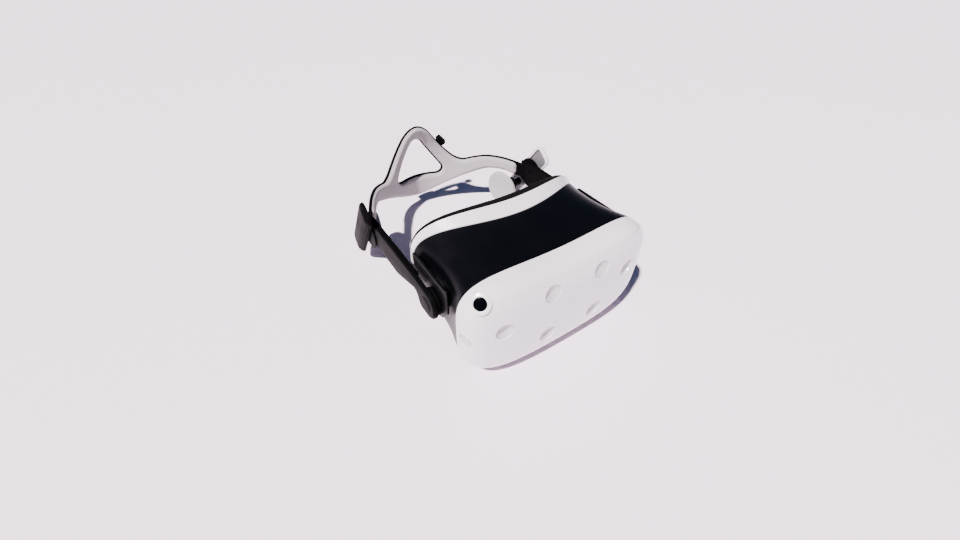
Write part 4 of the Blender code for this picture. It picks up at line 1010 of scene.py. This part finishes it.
def distance_to(outline, x, z):
    """Distance from each (x, z) to a closed outline, 0 inside it."""
    start = outline[:, None]
    edge = np.roll(outline, -1, axis=0)[:, None] - start
    place = np.stack((x.ravel(), z.ravel()), axis=1)[None]
    share = np.clip(((place - start) * edge).sum(-1) / (edge ** 2).sum(-1), 0.0, 1.0)
    gap = np.linalg.norm(place - start - share[..., None] * edge, axis=-1).min(axis=0)
    above = start[..., 1] > place[..., 1]
    end_above = start[..., 1] + edge[..., 1] > place[..., 1]
    climb = np.where(edge[..., 1] == 0.0, 1e-12, edge[..., 1])
    crossing = start[..., 0] + edge[..., 0] * (place[..., 1] - start[..., 1]) / climb
    crosses = (above != end_above) & (place[..., 0] < crossing)
    return np.where(crosses.sum(axis=0) % 2 == 1, 0.0, gap).reshape(x.shape)


def tube(line, radius, sides=20, across=(0.0, 1.0, 0.0)):
    """Closed tube of a radius along a closed line of points."""
    tangent = np.roll(line, -1, axis=0) - np.roll(line, 1, axis=0)
    tangent /= np.linalg.norm(tangent, axis=1, keepdims=True)
    side = np.cross(tangent, np.array(across))
    side /= np.linalg.norm(side, axis=1, keepdims=True)
    third = np.cross(side, tangent)
    turn = np.linspace(0.0, TAU, sides, endpoint=False)[None, :, None]
    rows = line[:, None] + radius * (np.cos(turn) * side[:, None] + np.sin(turn) * third[:, None])
    return skin(rows, wrap_rows=True)


def on_bar(outline):
    """Outline on the earphone bar, (across, along) from its middle, as (y, z)."""
    c, s = math.cos(BAR_TURN), math.sin(BAR_TURN)
    across, along = np.asarray(outline, float).T
    return np.stack((RIM_Y + BAR_MIDDLE[0] + across * c - along * s,
                     BAR_MIDDLE[1] + across * s + along * c), axis=1)


def gather(target, points, faces):
    """Adds a closed shape to the target's mesh."""
    other = made(f"{target.name}_more", points, faces)
    shape = bmesh.new()
    shape.from_mesh(target.data)
    shape.from_mesh(other.data)
    shape.to_mesh(target.data)
    shape.free()
    bpy.data.objects.remove(other, do_unlink=True)


def coat(nodes, finish, slot):
    """Gives frame nodes that stay on show their finish."""
    for name in nodes:
        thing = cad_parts[name]
        thing.data.materials.clear()
        thing.data.materials.append(finish)


# Operators ---------------------------------------------------------------------------------------

class HEADSET_OT_cover(bpy.types.Operator):
    """Makes the white front cover with its recesses"""
    bl_idname = "headset.cover"
    bl_label = "Front cover"

    def execute(self, context):
        wall = sizes().cover_wall
        shares = cover_shares(110)
        outer = [cover_loop(share) for share in shares]
        inner = [cover_loop(share, wall) for share in cover_shares(24)[::-1]]
        lip = cover_loop(1.0, 0.5 * wall) + np.array((0.0, 0.15 * MM, 0.0))
        cover = made("front_cover", *skin(outer + [lip] + inner))
        for x, z, radius in RECESSES:
            point, outward = on_cover(x, z)
            depth = sizes().recess_depth
            tool = ((AXIS_RADIUS, -depth), (radius, -depth), (radius, -0.35 * MM),
                    (radius + 0.12 * MM, -0.12 * MM), (radius + 0.5 * MM, 0.12 * MM),
                    (radius + 3.0 * MM, 2.2 * MM), (AXIS_RADIUS, 2.2 * MM))
            cut(cover, *turned(tool, point, outward, RECESS_SIDES))
        point, outward = on_cover(*CAMERA)
        bore = rod(CAMERA_BORE, -2.0 * MM, 4.0 * MM)
        cut(cover, *turned(bore, point, outward, RECESS_SIDES))
        dress(cover, white_finish(), "headset", ("front_visor",), 30.0)
        return {"FINISHED"}


class HEADSET_OT_windows(bpy.types.Operator):
    """Makes the hollow round tracking windows in the recesses"""
    bl_idname = "headset.windows"
    bl_label = "Tracking windows"

    def execute(self, context):
        share = np.linspace(0.02, 1.0, 16)
        for number, (x, z, radius) in enumerate(RECESSES, start=1):
            point, outward = on_cover(x, z)
            rim = radius - 0.22 * MM
            bowl = np.stack((share * (rim - 0.2 * MM),
                             -0.80 * MM - sizes().window_dish * (1.0 - share ** 2)), axis=1)[::-1]
            profile = np.concatenate((
                ((AXIS_RADIUS, -3.5 * MM), (rim, -3.5 * MM), (rim, -0.95 * MM)), bowl))
            window = made(f"tracking_window_{number}",
                          *turned(profile, point, outward, RECESS_SIDES))
            # the windows' darker white is painted shade of the recesses
            dress(window, window_finish(), "headset", (f"sensor_window_{number}",),
                  50.0)
        return {"FINISHED"}


class HEADSET_OT_camera_eye(bpy.types.Operator):
    """Makes the round camera and the raised ring about it"""
    bl_idname = "headset.camera_eye"
    bl_label = "Camera"

    def execute(self, context):
        point, outward = on_cover(*CAMERA)
        ring = chaikin(np.array(((4.95, -1.7), (8.05, -1.7), (8.05, 0.0), (7.4, 0.12), (6.2, 0.46),
                                 (5.3, 0.52), (4.95, 0.3))) * MM, 2)
        bezel = made("camera_ring", *turned(ring, point, outward, 96, closed=True))
        dress(bezel, white_finish(), "headset", ("camera_bezel",), 45.0)
        share = np.linspace(1.0, 0.02, 14)
        dome = np.stack((4.7 * MM * share, 0.42 * MM * (1.0 - share ** 2)), axis=1)
        dome = np.concatenate((((4.7 * MM, -1.7 * MM),), dome))
        lens = made("camera_eye", *turned(dome, point, outward, 96))
        dress(lens, camera_glass(), "headset", ("camera_lens",))
        return {"FINISHED"}


class HEADSET_OT_housing(bpy.types.Operator):
    """Makes the black housing between the cover and the face ring"""
    bl_idname = "headset.housing"
    bl_label = "Housing"

    def execute(self, context):
        wall = sizes().housing_wall
        shares = np.linspace(0.0, 1.0, 61)
        outer = [housing_loop(share) for share in shares]
        inner = [housing_loop(share, wall) for share in shares[::-3]]
        first = [housing_loop(0.004, 0.25 * MM)]
        last = [housing_loop(0.997, 0.25 * MM)]
        outer = first + outer[1:-1] + last
        shell = made("housing", *skin(outer + inner, wrap_rows=True))
        for radius, place, side in ((KNOB_BORE, KNOB, 1), (BUTTON_BORE, BUTTON, -1)):
            cut(shell, *turned(rod(radius, *SIDE_BORE), at_side(*place), (side, 0, 0), 48))
        dress(shell, black_finish(), "headset", ("body_shell",))
        return {"FINISHED"}


class HEADSET_OT_face_ring(bpy.types.Operator):
    """Makes the white ring that holds the face cushion"""
    bl_idname = "headset.face_ring"
    bl_label = "Face ring"

    def execute(self, context):
        wall = sizes().housing_wall
        corners = ((0.0, 0.0), (0.5, 0.0), (1.0, 0.0), (1.0, 15.0 * MM), (0.75, 15.0 * MM),
                   (0.35, wall), (0.0, wall))
        dense = np.concatenate([mix(np.array(a), np.array(b), np.linspace(0.0, 1.0, 7)[:-1, None])
                                for a, b in zip(corners, corners[1:] + corners[:1])])
        profile = chaikin(dense, 2)
        ring = made("face_ring_smooth", *skin([ring_loop(share, inset) for share, inset in profile],
                                              wrap_rows=True))
        dress(ring, white_finish(), "headset", ("face_ring",))
        return {"FINISHED"}


class HEADSET_OT_face_cushion(bpy.types.Operator):
    """Makes the soft black cushion round the eyes"""
    bl_idname = "headset.face_cushion"
    bl_label = "Face cushion"

    def execute(self, context):
        section = ((0.0, 0.0), (0.0, 0.4), (0.0, 0.8), (2.0 * MM, 1.0), (7.0 * MM, 1.0),
                   (13.0 * MM, 0.9), (18.0 * MM, 0.6), (19.0 * MM, 0.3), (19.0 * MM, 0.0),
                   (9.0 * MM, 0.0))
        profile = chaikin(section, 3)
        rows = np.array([cushion_loop(inset, back) for inset, back in profile])
        around = np.linspace(0.0, TAU, rows.shape[1], endpoint=False)
        pucker = np.sin(23.0 * around + 1.3) * np.sin(9.0 * around) + 0.5 * np.sin(41.0 * around)
        rows[..., 1] += 0.10 * MM * pucker[None, :] * profile[:, 1][:, None]
        cushion = made("face_foam", *skin(rows, wrap_rows=True))
        dress(cushion, foam_finish(), "headset", ("face_cushion",), 60.0)
        return {"FINISHED"}


class HEADSET_OT_eye_tubes(bpy.types.Operator):
    """Makes the two eye tubes and their lenses"""
    bl_idname = "headset.eye_tubes"
    bl_label = "Eye tubes"

    def execute(self, context):
        wall = ((21.5, 5.0), (23.5, 5.0), (23.5, 15.85), (25.6, 15.85), (25.6, 17.65),
                (23.5, 17.65), (23.5, 21.35), (25.6, 21.35), (25.6, 23.15), (23.5, 23.15),
                (23.5, 37.5), (23.0, 38.0), (22.0, 38.0), (21.5, 37.5))
        share = np.linspace(1.0, 0.02, 14)
        bulge = 2.6 * (1.0 - share ** 2)
        glass = np.concatenate((np.stack((21.2 * share[::-1], 29.0 - bulge[::-1]), axis=1),
                                np.stack((21.2 * share, 31.0 + bulge), axis=1)))
        for side, label in SIDES:
            centre = at_side(0.0, EYE_HEIGHT, side * EYE_HALF_DISTANCE)
            barrel = made(f"eye_tube_smooth_{label}",
                          *turned(np.array(wall) * MM, centre, (0, 1, 0), closed=True))
            dress(barrel, barrel_finish(), f"eye_tube_{label}",
                  (f"lens_barrel_{label}",))
            lens = made(f"eye_lens_{label}", *turned(glass * MM, centre, (0, 1, 0), 96))
            dress(lens, lens_finish(), f"eye_tube_{label}", (f"lens_{label}",), 50.0)
        return {"FINISHED"}


class HEADSET_OT_inside(bpy.types.Operator):
    """Gives the plates, posts, board, displays and sensor inside the housing their finishes"""
    bl_idname = "headset.inside"
    bl_label = "Inside"

    def execute(self, context):
        posts = [f"post_{level}_{label}" for level in ("top", "bottom") for _, label in SIDES]
        coat(["chassis_plate", "heat_spreader", *posts], metal_finish(), "chassis_metal")
        coat(["main_board"], board_finish(), "board_green")
        coat(["display_l", "display_r"], polished("Display glass", (0.006, 0.007, 0.010), 0.1),
             "display_glass")
        coat(["proximity_sensor"], camera_glass(), "camera_glass")
        return {"FINISHED"}


class HEADSET_OT_side_controls(bpy.types.Operator):
    """Makes the eye distance knob and the system button"""
    bl_idname = "headset.side_controls"
    bl_label = "Side controls"

    def execute(self, context):
        knob = ((0.01, -8.0), (2.6, -8.0), (2.6, 0.0), (5.2, 0.0), (5.6, 0.4), (5.6, 2.4),
                (5.3, 2.85), (4.8, 3.0), (3.9, 3.0), (3.6, 2.8), (0.01, 2.8))
        thing = made("knob_smooth", *fluted(np.array(knob) * MM, at_side(*KNOB, KNOB_X), (1, 0, 0),
                                            28, 0.07))
        dress(thing, grey_finish(), "knob", ("eye_distance_knob",), 32.0)
        share = np.linspace(0.02, 1.0, 10)
        dish = np.stack((3.6 * share, 0.35 * (1.0 - share ** 2)), axis=1)
        cap = np.concatenate((dish, ((3.9, 0.05), (4.15, 0.3), (4.2, 0.6), (4.2, 6.1),
                                     (0.01, 6.1))))
        thing = made("button_smooth", *turned(cap * MM, at_side(*BUTTON, BUTTON_X), (1, 0, 0), 72))
        dress(thing, grey_finish(), "button", ("system_button",), 45.0)
        return {"FINISHED"}


class HEADSET_OT_pivots(bpy.types.Operator):
    """Makes the temple plates, the pivot discs and the caps"""
    bl_idname = "headset.pivots"
    bl_label = "Strap pivots"

    def execute(self, context):
        outline = side_outline(((17.5, 83.5, 3), (17.5, 60, 7), (28, 45.5, 9), (49, 45.5, 9),
                                (73.5, 62, 6), (73.5, 84.5, 3)))
        boss = np.array(((0.01, 86.0), (8.6, 86.0), (9.0, 86.4), (9.0, 90.5), (0.01, 90.5))) * MM
        disc = np.array(((0.01, 91.8), (11.4, 91.8), (12.2, 92.4), (12.2, 94.6), (11.4, 95.25),
                         (4.0, 95.25), (4.0, 97.9), (0.01, 97.9))) * MM
        cap = np.array(((0.01, 98.2), (7.0, 98.2), (7.0, 99.35), (6.75, 99.75), (6.2, 99.95),
                        (3.0, 100.05), (0.01, 100.05))) * MM
        for side, label in SIDES:
            axis, outward = at_side(*PIVOT), (side, 0, 0)
            thing = made(f"temple_{label}", *plate(outline, 89.2 * MM, 91.5 * MM, 0.7 * MM, side))
            gather(thing, *turned(boss, axis, outward))
            dress(thing, black_finish(), "headset", (f"temple_plate_{label}",))
            thing = made(f"pivot_hub_{label}", *turned(disc, axis, outward))
            dress(thing, strap_finish(), "headset", (f"pivot_disc_{label}",))
            thing = made(f"pivot_cover_{label}", *turned(cap, axis, outward))
            dress(thing, strap_finish(), "headset", (f"pivot_cap_{label}",), 30.0)
        return {"FINISHED"}


class HEADSET_OT_strap_arms(bpy.types.Operator):
    """Makes the side arms, each a black sleeve with a grey outer panel"""
    bl_idname = "headset.strap_arms"
    bl_label = "Strap arms"

    def execute(self, context):
        outline = side_outline(((25, 71, 11.96), (25, 45, 11.96), (51, 45, 7), (56, 59.5, 5),
                                (94, 47, 14), (172, 47, 3), (172, 69.8, 2), (150, 73.5, 12),
                                (56, 73.5, 12)), 18)
        for side, label in SIDES:
            arm = made(f"arm_{label}", *plate(outline, ARM_INNER_X, ARM_SLEEVE_X, 1.1 * MM, side))
            for (x, depth, height), size in ARM_CUTS:
                cut(arm, *block(at_side(depth * MM, height * MM, side * x * MM),
                                np.array(size) * MM))
            axis, outward = at_side(*PIVOT), (side, 0, 0)
            for radius, start in ((4.35 * MM, 90.0 * MM), (7.2 * MM, 98.1 * MM)):
                cut(arm, *turned(rod(radius, start, BORE_END), axis, outward, 64))
            dress(arm, strap_finish(), "strap_arms", (f"strap_arm_{label}",))
            panel = made(f"arm_panel_{label}", *plate(offset(outline, 1.0 * MM), ARM_PANEL_X,
                                                      ARM_OUTER_X, 0.35 * MM, side))
            for radius, place in ((7.25 * MM, PIVOT), (8.35 * MM, BOSS)):
                cut(panel, *turned(rod(radius, 98.0 * MM, BORE_END), at_side(*place), outward, 64))
            dress(panel, grey_finish(), "strap_arms", (f"strap_arm_{label}",))
        return {"FINISHED"}


class HEADSET_OT_cradle_shell(bpy.types.Operator):
    """Makes the black rear cradle with its opening and its tongues"""
    bl_idname = "headset.cradle_shell"
    bl_label = "Rear cradle"

    def execute(self, context):
        wall = sizes().shell_wall
        angle = np.linspace(0.0, 180.0, 301)
        folded = np.minimum(angle, 180.0 - angle)
        jog = ease(folded / CRADLE_JOG_ANGLE)
        inner = mix(TONGUE_NEAR, SHELL_NEAR, jog)
        outer = mix(TONGUE_FAR, SHELL_NEAR + wall, jog)
        low = edge_height(CRADLE_LOWER, angle) - 1.5 * MM * jog
        high = edge_height(CRADLE_UPPER, angle) + 1.5 * MM * jog
        radius = 0.5 * (outer - inner)
        height = np.linspace(0.0, 1.0, 45)[:, None]
        turn = np.linspace(0.0, math.pi, 9)[1:-1, None]
        middle = 0.5 * (inner + outer)
        up = mix(low + radius, high - radius, height)
        out = np.concatenate((np.broadcast_to(outer, up.shape), middle + radius * np.cos(turn),
                              np.broadcast_to(inner, up.shape), middle - radius * np.cos(turn)))
        z = np.concatenate((up, high - radius + radius * np.sin(turn), up[::-1],
                            low + radius - radius * np.sin(turn)))
        rows = on_cradle(angle[None], out, z).transpose(1, 0, 2)
        reach = np.array((0.0, CRADLE_DEPTH - TONGUE_FRONT, 0.0))
        lengths = np.linspace(1.0, 0.0, 6, endpoint=False)[:, None, None]
        rows = np.concatenate((rows[0] - lengths * reach, rows, rows[-1] - lengths[::-1] * reach))
        shell = made("cradle", *skin(rows))
        cut_window(shell, 0.5 * wall)
        hub = rod(3.35 * MM, -5.0 * MM, 10.0 * MM)
        cut(shell, *turned(hub, (0.0, CRADLE_BACK, DIAL_HEIGHT), (0, 1, 0), 48))
        line = resample(window_outline(0.5 * wall), 260, closed=True)
        half = SHELL_NEAR + 0.5 * wall
        line = on_cradle(angle_at(line[:, 0], half), half, line[:, 1])
        gather(shell, *tube(line, 0.5 * wall - 0.02 * MM))
        dress(shell, strap_finish(), "cradle", ("cradle_shell",), 34.0)
        return {"FINISHED"}


class HEADSET_OT_cradle_pad(bpy.types.Operator):
    """Makes the soft white pad on the inside of the cradle"""
    bl_idname = "headset.cradle_pad"
    bl_label = "Cradle pad"

    def execute(self, context):
        edge = sizes().pad_edge
        angle = np.linspace(PAD_END_ANGLE, 180.0 - PAD_END_ANGLE, 281)
        folded = np.minimum(angle, 180.0 - angle)
        from_end = folded - PAD_END_ANGLE
        fullness = np.sqrt(1.0 - (1.0 - np.clip(from_end / 4.5, 0.0, 1.0)) ** 2)
        low, high = edge_height(CRADLE_LOWER, angle), edge_height(CRADLE_UPPER, angle)
        half = 0.5 * (high - low) * mix(0.45, 1.0, fullness)
        middle = 0.5 * (high + low)
        share = -np.cos(np.linspace(0.0, math.pi, 61))[:, None]
        z = middle + half * share
        full = mix(2.6 * MM, sizes().pad_thickness, ease((folded - 30.0) / 30.0))
        point, _ = cradle_plan(angle)
        x = np.broadcast_to(point[:, 0], z.shape)
        reach = np.minimum(half - np.abs(z - middle), 40.0 * MM)
        gap = distance_to(window_outline(PAD_WINDOW_GROWTH, 8), x, z)
        reach = np.minimum(reach, gap + 0.35 * MM)
        reach = np.minimum(reach, from_end * 1.6 * MM)
        roll = np.sqrt(1.0 - (1.0 - np.clip(reach / edge, 0.0, 1.0)) ** 2)
        pucker = np.sin(0.55 * angle + 40.0 * z / 0.1) * np.sin(0.9 * angle)
        pucker = pucker + 0.6 * np.sin(120.0 * z / 0.1)
        thickness = full * roll * (1.0 + 0.02 * pucker * roll * (1.0 - roll) * 4.0)
        seat = mix(TONGUE_NEAR, SHELL_NEAR, ease(folded / CRADLE_JOG_ANGLE)) - 0.5 * MM
        back = on_cradle(angle[None], seat * np.ones_like(z), z)
        front = on_cradle(angle[None], seat - (seat + thickness) * roll ** 0.3, z)
        rows = np.concatenate((back, front[::-1][1:-1])).transpose(1, 0, 2)
        pad = made("cradle_soft_pad", *skin(rows), weld=0.02 * MM)
        cut_window(pad, PAD_WINDOW_GROWTH)
        dress(pad, cloth_finish(), "cradle", ("cradle_pad",), 60.0)
        return {"FINISHED"}


class HEADSET_OT_cradle_fittings(bpy.types.Operator):
    """Makes the fluted fit dial and gives the cable clip its finish"""
    bl_idname = "headset.cradle_fittings"
    bl_label = "Fit dial and clip"

    def execute(self, context):
        dial = ((0.01, -2.4), (3.0, -2.4), (3.0, 0.0), (10.0, 0.0), (10.5, 0.5), (10.5, 6.2),
                (10.1, 7.0), (9.4, 7.4), (8.6, 7.5), (8.0, 7.0), (0.01, 6.8))
        middle = (0.0, CRADLE_BACK + 3.6 * MM, DIAL_HEIGHT)
        thing = made("dial_smooth", *fluted(np.array(dial) * MM, middle, (0, 1, 0), 36, 0.05, 432))
        dress(thing, grey_finish(), "dial", ("fit_dial",), 32.0)
        coat(["cable_clip"], strap_finish(), "strap_black")
        return {"FINISHED"}


class HEADSET_OT_ear_bars(bpy.types.Operator):
    """Makes the bosses and the swinging bars of the earphones"""
    bl_idname = "headset.ear_bars"
    bl_label = "Earphone bars"

    def execute(self, context):
        boss = np.array(((0.01, 98.5), (8.0, 98.5), (8.0, 99.85), (18.0, 99.85), (18.5, 100.2),
                         (18.5, 100.8), (18.0, 101.2), (0.01, 101.2))) * MM
        outline = on_bar(bar_outline(BAR_LENGTH, BAR_WIDTH, BAR_CORNER))
        slot = on_bar(bar_outline(*BAR_SLOT))
        strip = on_bar(bar_outline(*BAR_TRACK))

        def ridge(y, z):
            """Fall of the outer face away from a lengthwise ridge."""
            dy, dz = y - RIM_Y - BAR_MIDDLE[0], z - BAR_MIDDLE[1]
            across = dy * math.cos(BAR_TURN) + dz * math.sin(BAR_TURN)
            return -RIDGE_FALL * np.abs(across + RIDGE_SHIFT)

        for side, label in SIDES:
            body, outward = f"ear_bar_{label}", (side, 0, 0)
            thing = made(f"boss_{label}", *turned(boss, at_side(*BOSS), outward))
            dress(thing, strap_finish(), body, (f"ear_boss_{label}",))
            thing = made(f"bar_frame_{label}", *plate(outline, BAR_INNER_X, BAR_FACE_X, 0.5 * MM,
                                                      side))
            cut(thing, *prism(slot, 0, side * 99.5 * MM, side * 106.0 * MM))
            finish = white_finish() if side > 0 else strap_finish()
            dress(thing, finish, body, (f"ear_bar_frame_{label}",))
            thing = made(f"bar_track_{label}", *plate(strip, TRACK_X, BAR_FACE_X, 0.3 * MM, side))
            dress(thing, track_finish(), body, (f"ear_bar_track_{label}",))
            steps = np.array(((104.1, 0.9), (104.5, 0.8), (105.0, 1.1), (106.6, 2.9), (107.2, 3.6),
                              (107.5, 4.3))) * MM
            thing = made(f"bar_cover_{label}", *slab(outline, steps, side, ridge, 24))
            dress(thing, strap_finish(), body, (f"ear_bar_cover_{label}",), 24.0)
        return {"FINISHED"}


class HEADSET_OT_ear_speakers(bpy.types.Operator):
    """Makes the sliding hubs and the ear cups with their soft pads"""
    bl_idname = "headset.ear_speakers"
    bl_label = "Ear cups"

    def execute(self, context):
        hub = np.array(((0.01, 90.6), (6.9, 90.6), (7.7, 90.85), (8.0, 91.3), (8.0, 92.4),
                        (7.6, 92.85), (6.9, 93.0), (4.2, 93.0), (4.2, 102.5), (0.01, 102.5))) * MM
        share = np.linspace(0.02, 1.0, 18)
        dish = np.stack((17.0 * share, 6.1 - 1.3 * (1.0 - share ** 2)), axis=1)
        rim = chaikin(((18.5, 1.6), (21.5, 1.7), (21.5, 3.8), (21.5, 5.6), (19.5, 6.4),
                       (17.0, 6.1)), 3,
                      closed=False)
        pad = np.concatenate((((0.01, 1.6), (18.5, 1.6)), rim[1:], dish[::-1][1:])) * MM
        cup = chaikin(np.array(((0.01, -1.3), (9.0, -1.3), (13.4, -1.2), (15.3, -0.4), (15.5, 0.3),
                                (15.5, 1.25), (0.01, 1.3))) * MM, 2, closed=False)
        neck = rod(3.4 * MM, 85.5 * MM, 90.25 * MM)
        (y, z), = on_bar([(0.0, HUB_ALONG)])
        for side, label in SIDES:
            outward = (side, 0, 0)
            facing = (-side * math.cos(EAR_TOE_IN), -math.sin(EAR_TOE_IN), 0.0)
            centre = at_side(EAR[0], EAR[1], side * EAR[2])
            thing = made(f"hub_{label}", *turned(hub, (0.0, y, z), outward))
            dress(thing, strap_finish(), f"ear_slide_{label}", (f"ear_hub_{label}",))
            thing = made(f"cup_{label}", *turned(cup, centre, facing))
            gather(thing, *turned(neck, (0.0, y, z), outward))
            dress(thing, white_finish(), f"ear_cup_{label}", (f"ear_cup_{label}",))
            thing = made(f"ear_cushion_{label}", *turned(pad, centre, facing, 128))
            dress(thing, cloth_finish(), f"ear_cup_{label}", (f"ear_pad_{label}",),
                  60.0)
        return {"FINISHED"}


class HEADSET_OT_stage(bpy.types.Operator):
    """Sets the plain floor, the soft light and the camera"""
    bl_idname = "headset.stage"
    bl_label = "Stage"

    def execute(self, context):
        corners = ((-1, -1, 0), (1, -1, 0), (1, 1, 0), (-1, 1, 0))
        floor = made("floor", FLOOR_REACH * np.array(corners, float), [[0, 1, 2, 3]])
        floor.data.materials.append(floor_finish())
        scene = context.scene
        world = bpy.data.worlds.new("Pale room")
        world.use_nodes = True
        tree = world.node_tree
        shade = tree.nodes["Background"]
        shade.inputs["Color"].default_value = ROOM_COLOUR
        shade.inputs["Strength"].default_value = ROOM_STRENGTH
        wall = node(tree, "ShaderNodeBackground", {"Color": BACKDROP_COLOUR,
                                                     "Strength": BACKDROP_STRENGTH})
        seen = node(tree, "ShaderNodeLightPath").outputs["Is Camera Ray"]
        both = node(tree, "ShaderNodeMixShader", {0: seen, 1: shade.outputs[0], 2: wall.outputs[0]})
        tree.links.new(both.outputs[0], tree.nodes["World Output"].inputs["Surface"])
        scene.world = world
        key = bpy.data.lights.new("Key", "SUN")
        key.energy, key.angle, key.color = SUN_STRENGTH, SUN_ANGLE, SUN_COLOUR
        lamp = bpy.data.objects.new("Key", key)
        lamp.rotation_euler = Vector(SUN_DIRECTION).to_track_quat("-Z", "Y").to_euler()
        scene.collection.objects.link(lamp)
        camera = bpy.data.objects.new("Camera", bpy.data.cameras.new("Camera"))
        camera.data.lens, camera.data.sensor_width = CAMERA_LENS, CAMERA_SENSOR
        camera.data.clip_start = CAMERA_NEAR
        place, aim = Vector(CAMERA_PLACE), Vector(CAMERA_AIM)
        camera.location = place
        camera.rotation_euler = (aim - place).to_track_quat("-Z", "Y").to_euler()
        scene.collection.objects.link(camera)
        scene.camera = camera
        return {"FINISHED"}


OPERATORS = (HEADSET_OT_cover, HEADSET_OT_windows, HEADSET_OT_camera_eye, HEADSET_OT_housing,
             HEADSET_OT_face_ring, HEADSET_OT_face_cushion, HEADSET_OT_eye_tubes, HEADSET_OT_inside,
             HEADSET_OT_side_controls, HEADSET_OT_pivots, HEADSET_OT_strap_arms,
             HEADSET_OT_cradle_shell, HEADSET_OT_cradle_pad, HEADSET_OT_cradle_fittings,
             HEADSET_OT_ear_bars, HEADSET_OT_ear_speakers, HEADSET_OT_stage)


class HEADSET_PT_panel(bpy.types.Panel):
    """Lists the sizes, the colours and the steps of the headset"""
    bl_idname = "HEADSET_PT_panel"
    bl_label = "Headset"
    bl_space_type = "VIEW_3D"
    bl_region_type = "UI"
    bl_category = "Headset"

    def draw(self, context):
        column = self.layout.column(align=True)
        for settings in (context.scene.headset_sizes, context.scene.headset_colours):
            for name in settings.bl_rna.properties.keys()[2:]:
                column.prop(settings, name)
        for operator in OPERATORS:
            column.operator(operator.bl_idname)


CLASSES = (HeadsetSizes, HeadsetColours, *OPERATORS, HEADSET_PT_panel)


def register():
    """Makes the classes known and hangs the settings on the scene."""
    for each in CLASSES:
        bpy.utils.register_class(each)
    bpy.types.Scene.headset_sizes = bpy.props.PointerProperty(type=HeadsetSizes)
    bpy.types.Scene.headset_colours = bpy.props.PointerProperty(type=HeadsetColours)


def unregister():
    """Takes the settings and the classes away again."""
    del bpy.types.Scene.headset_sizes
    del bpy.types.Scene.headset_colours
    for each in reversed(CLASSES):
        bpy.utils.unregister_class(each)


def main():
    """Runs every step in order."""
    register()
    for operator in OPERATORS:
        area, name = operator.bl_idname.split(".")
        getattr(getattr(bpy.ops, area), name)()


if __name__ == "__main__":
    main()
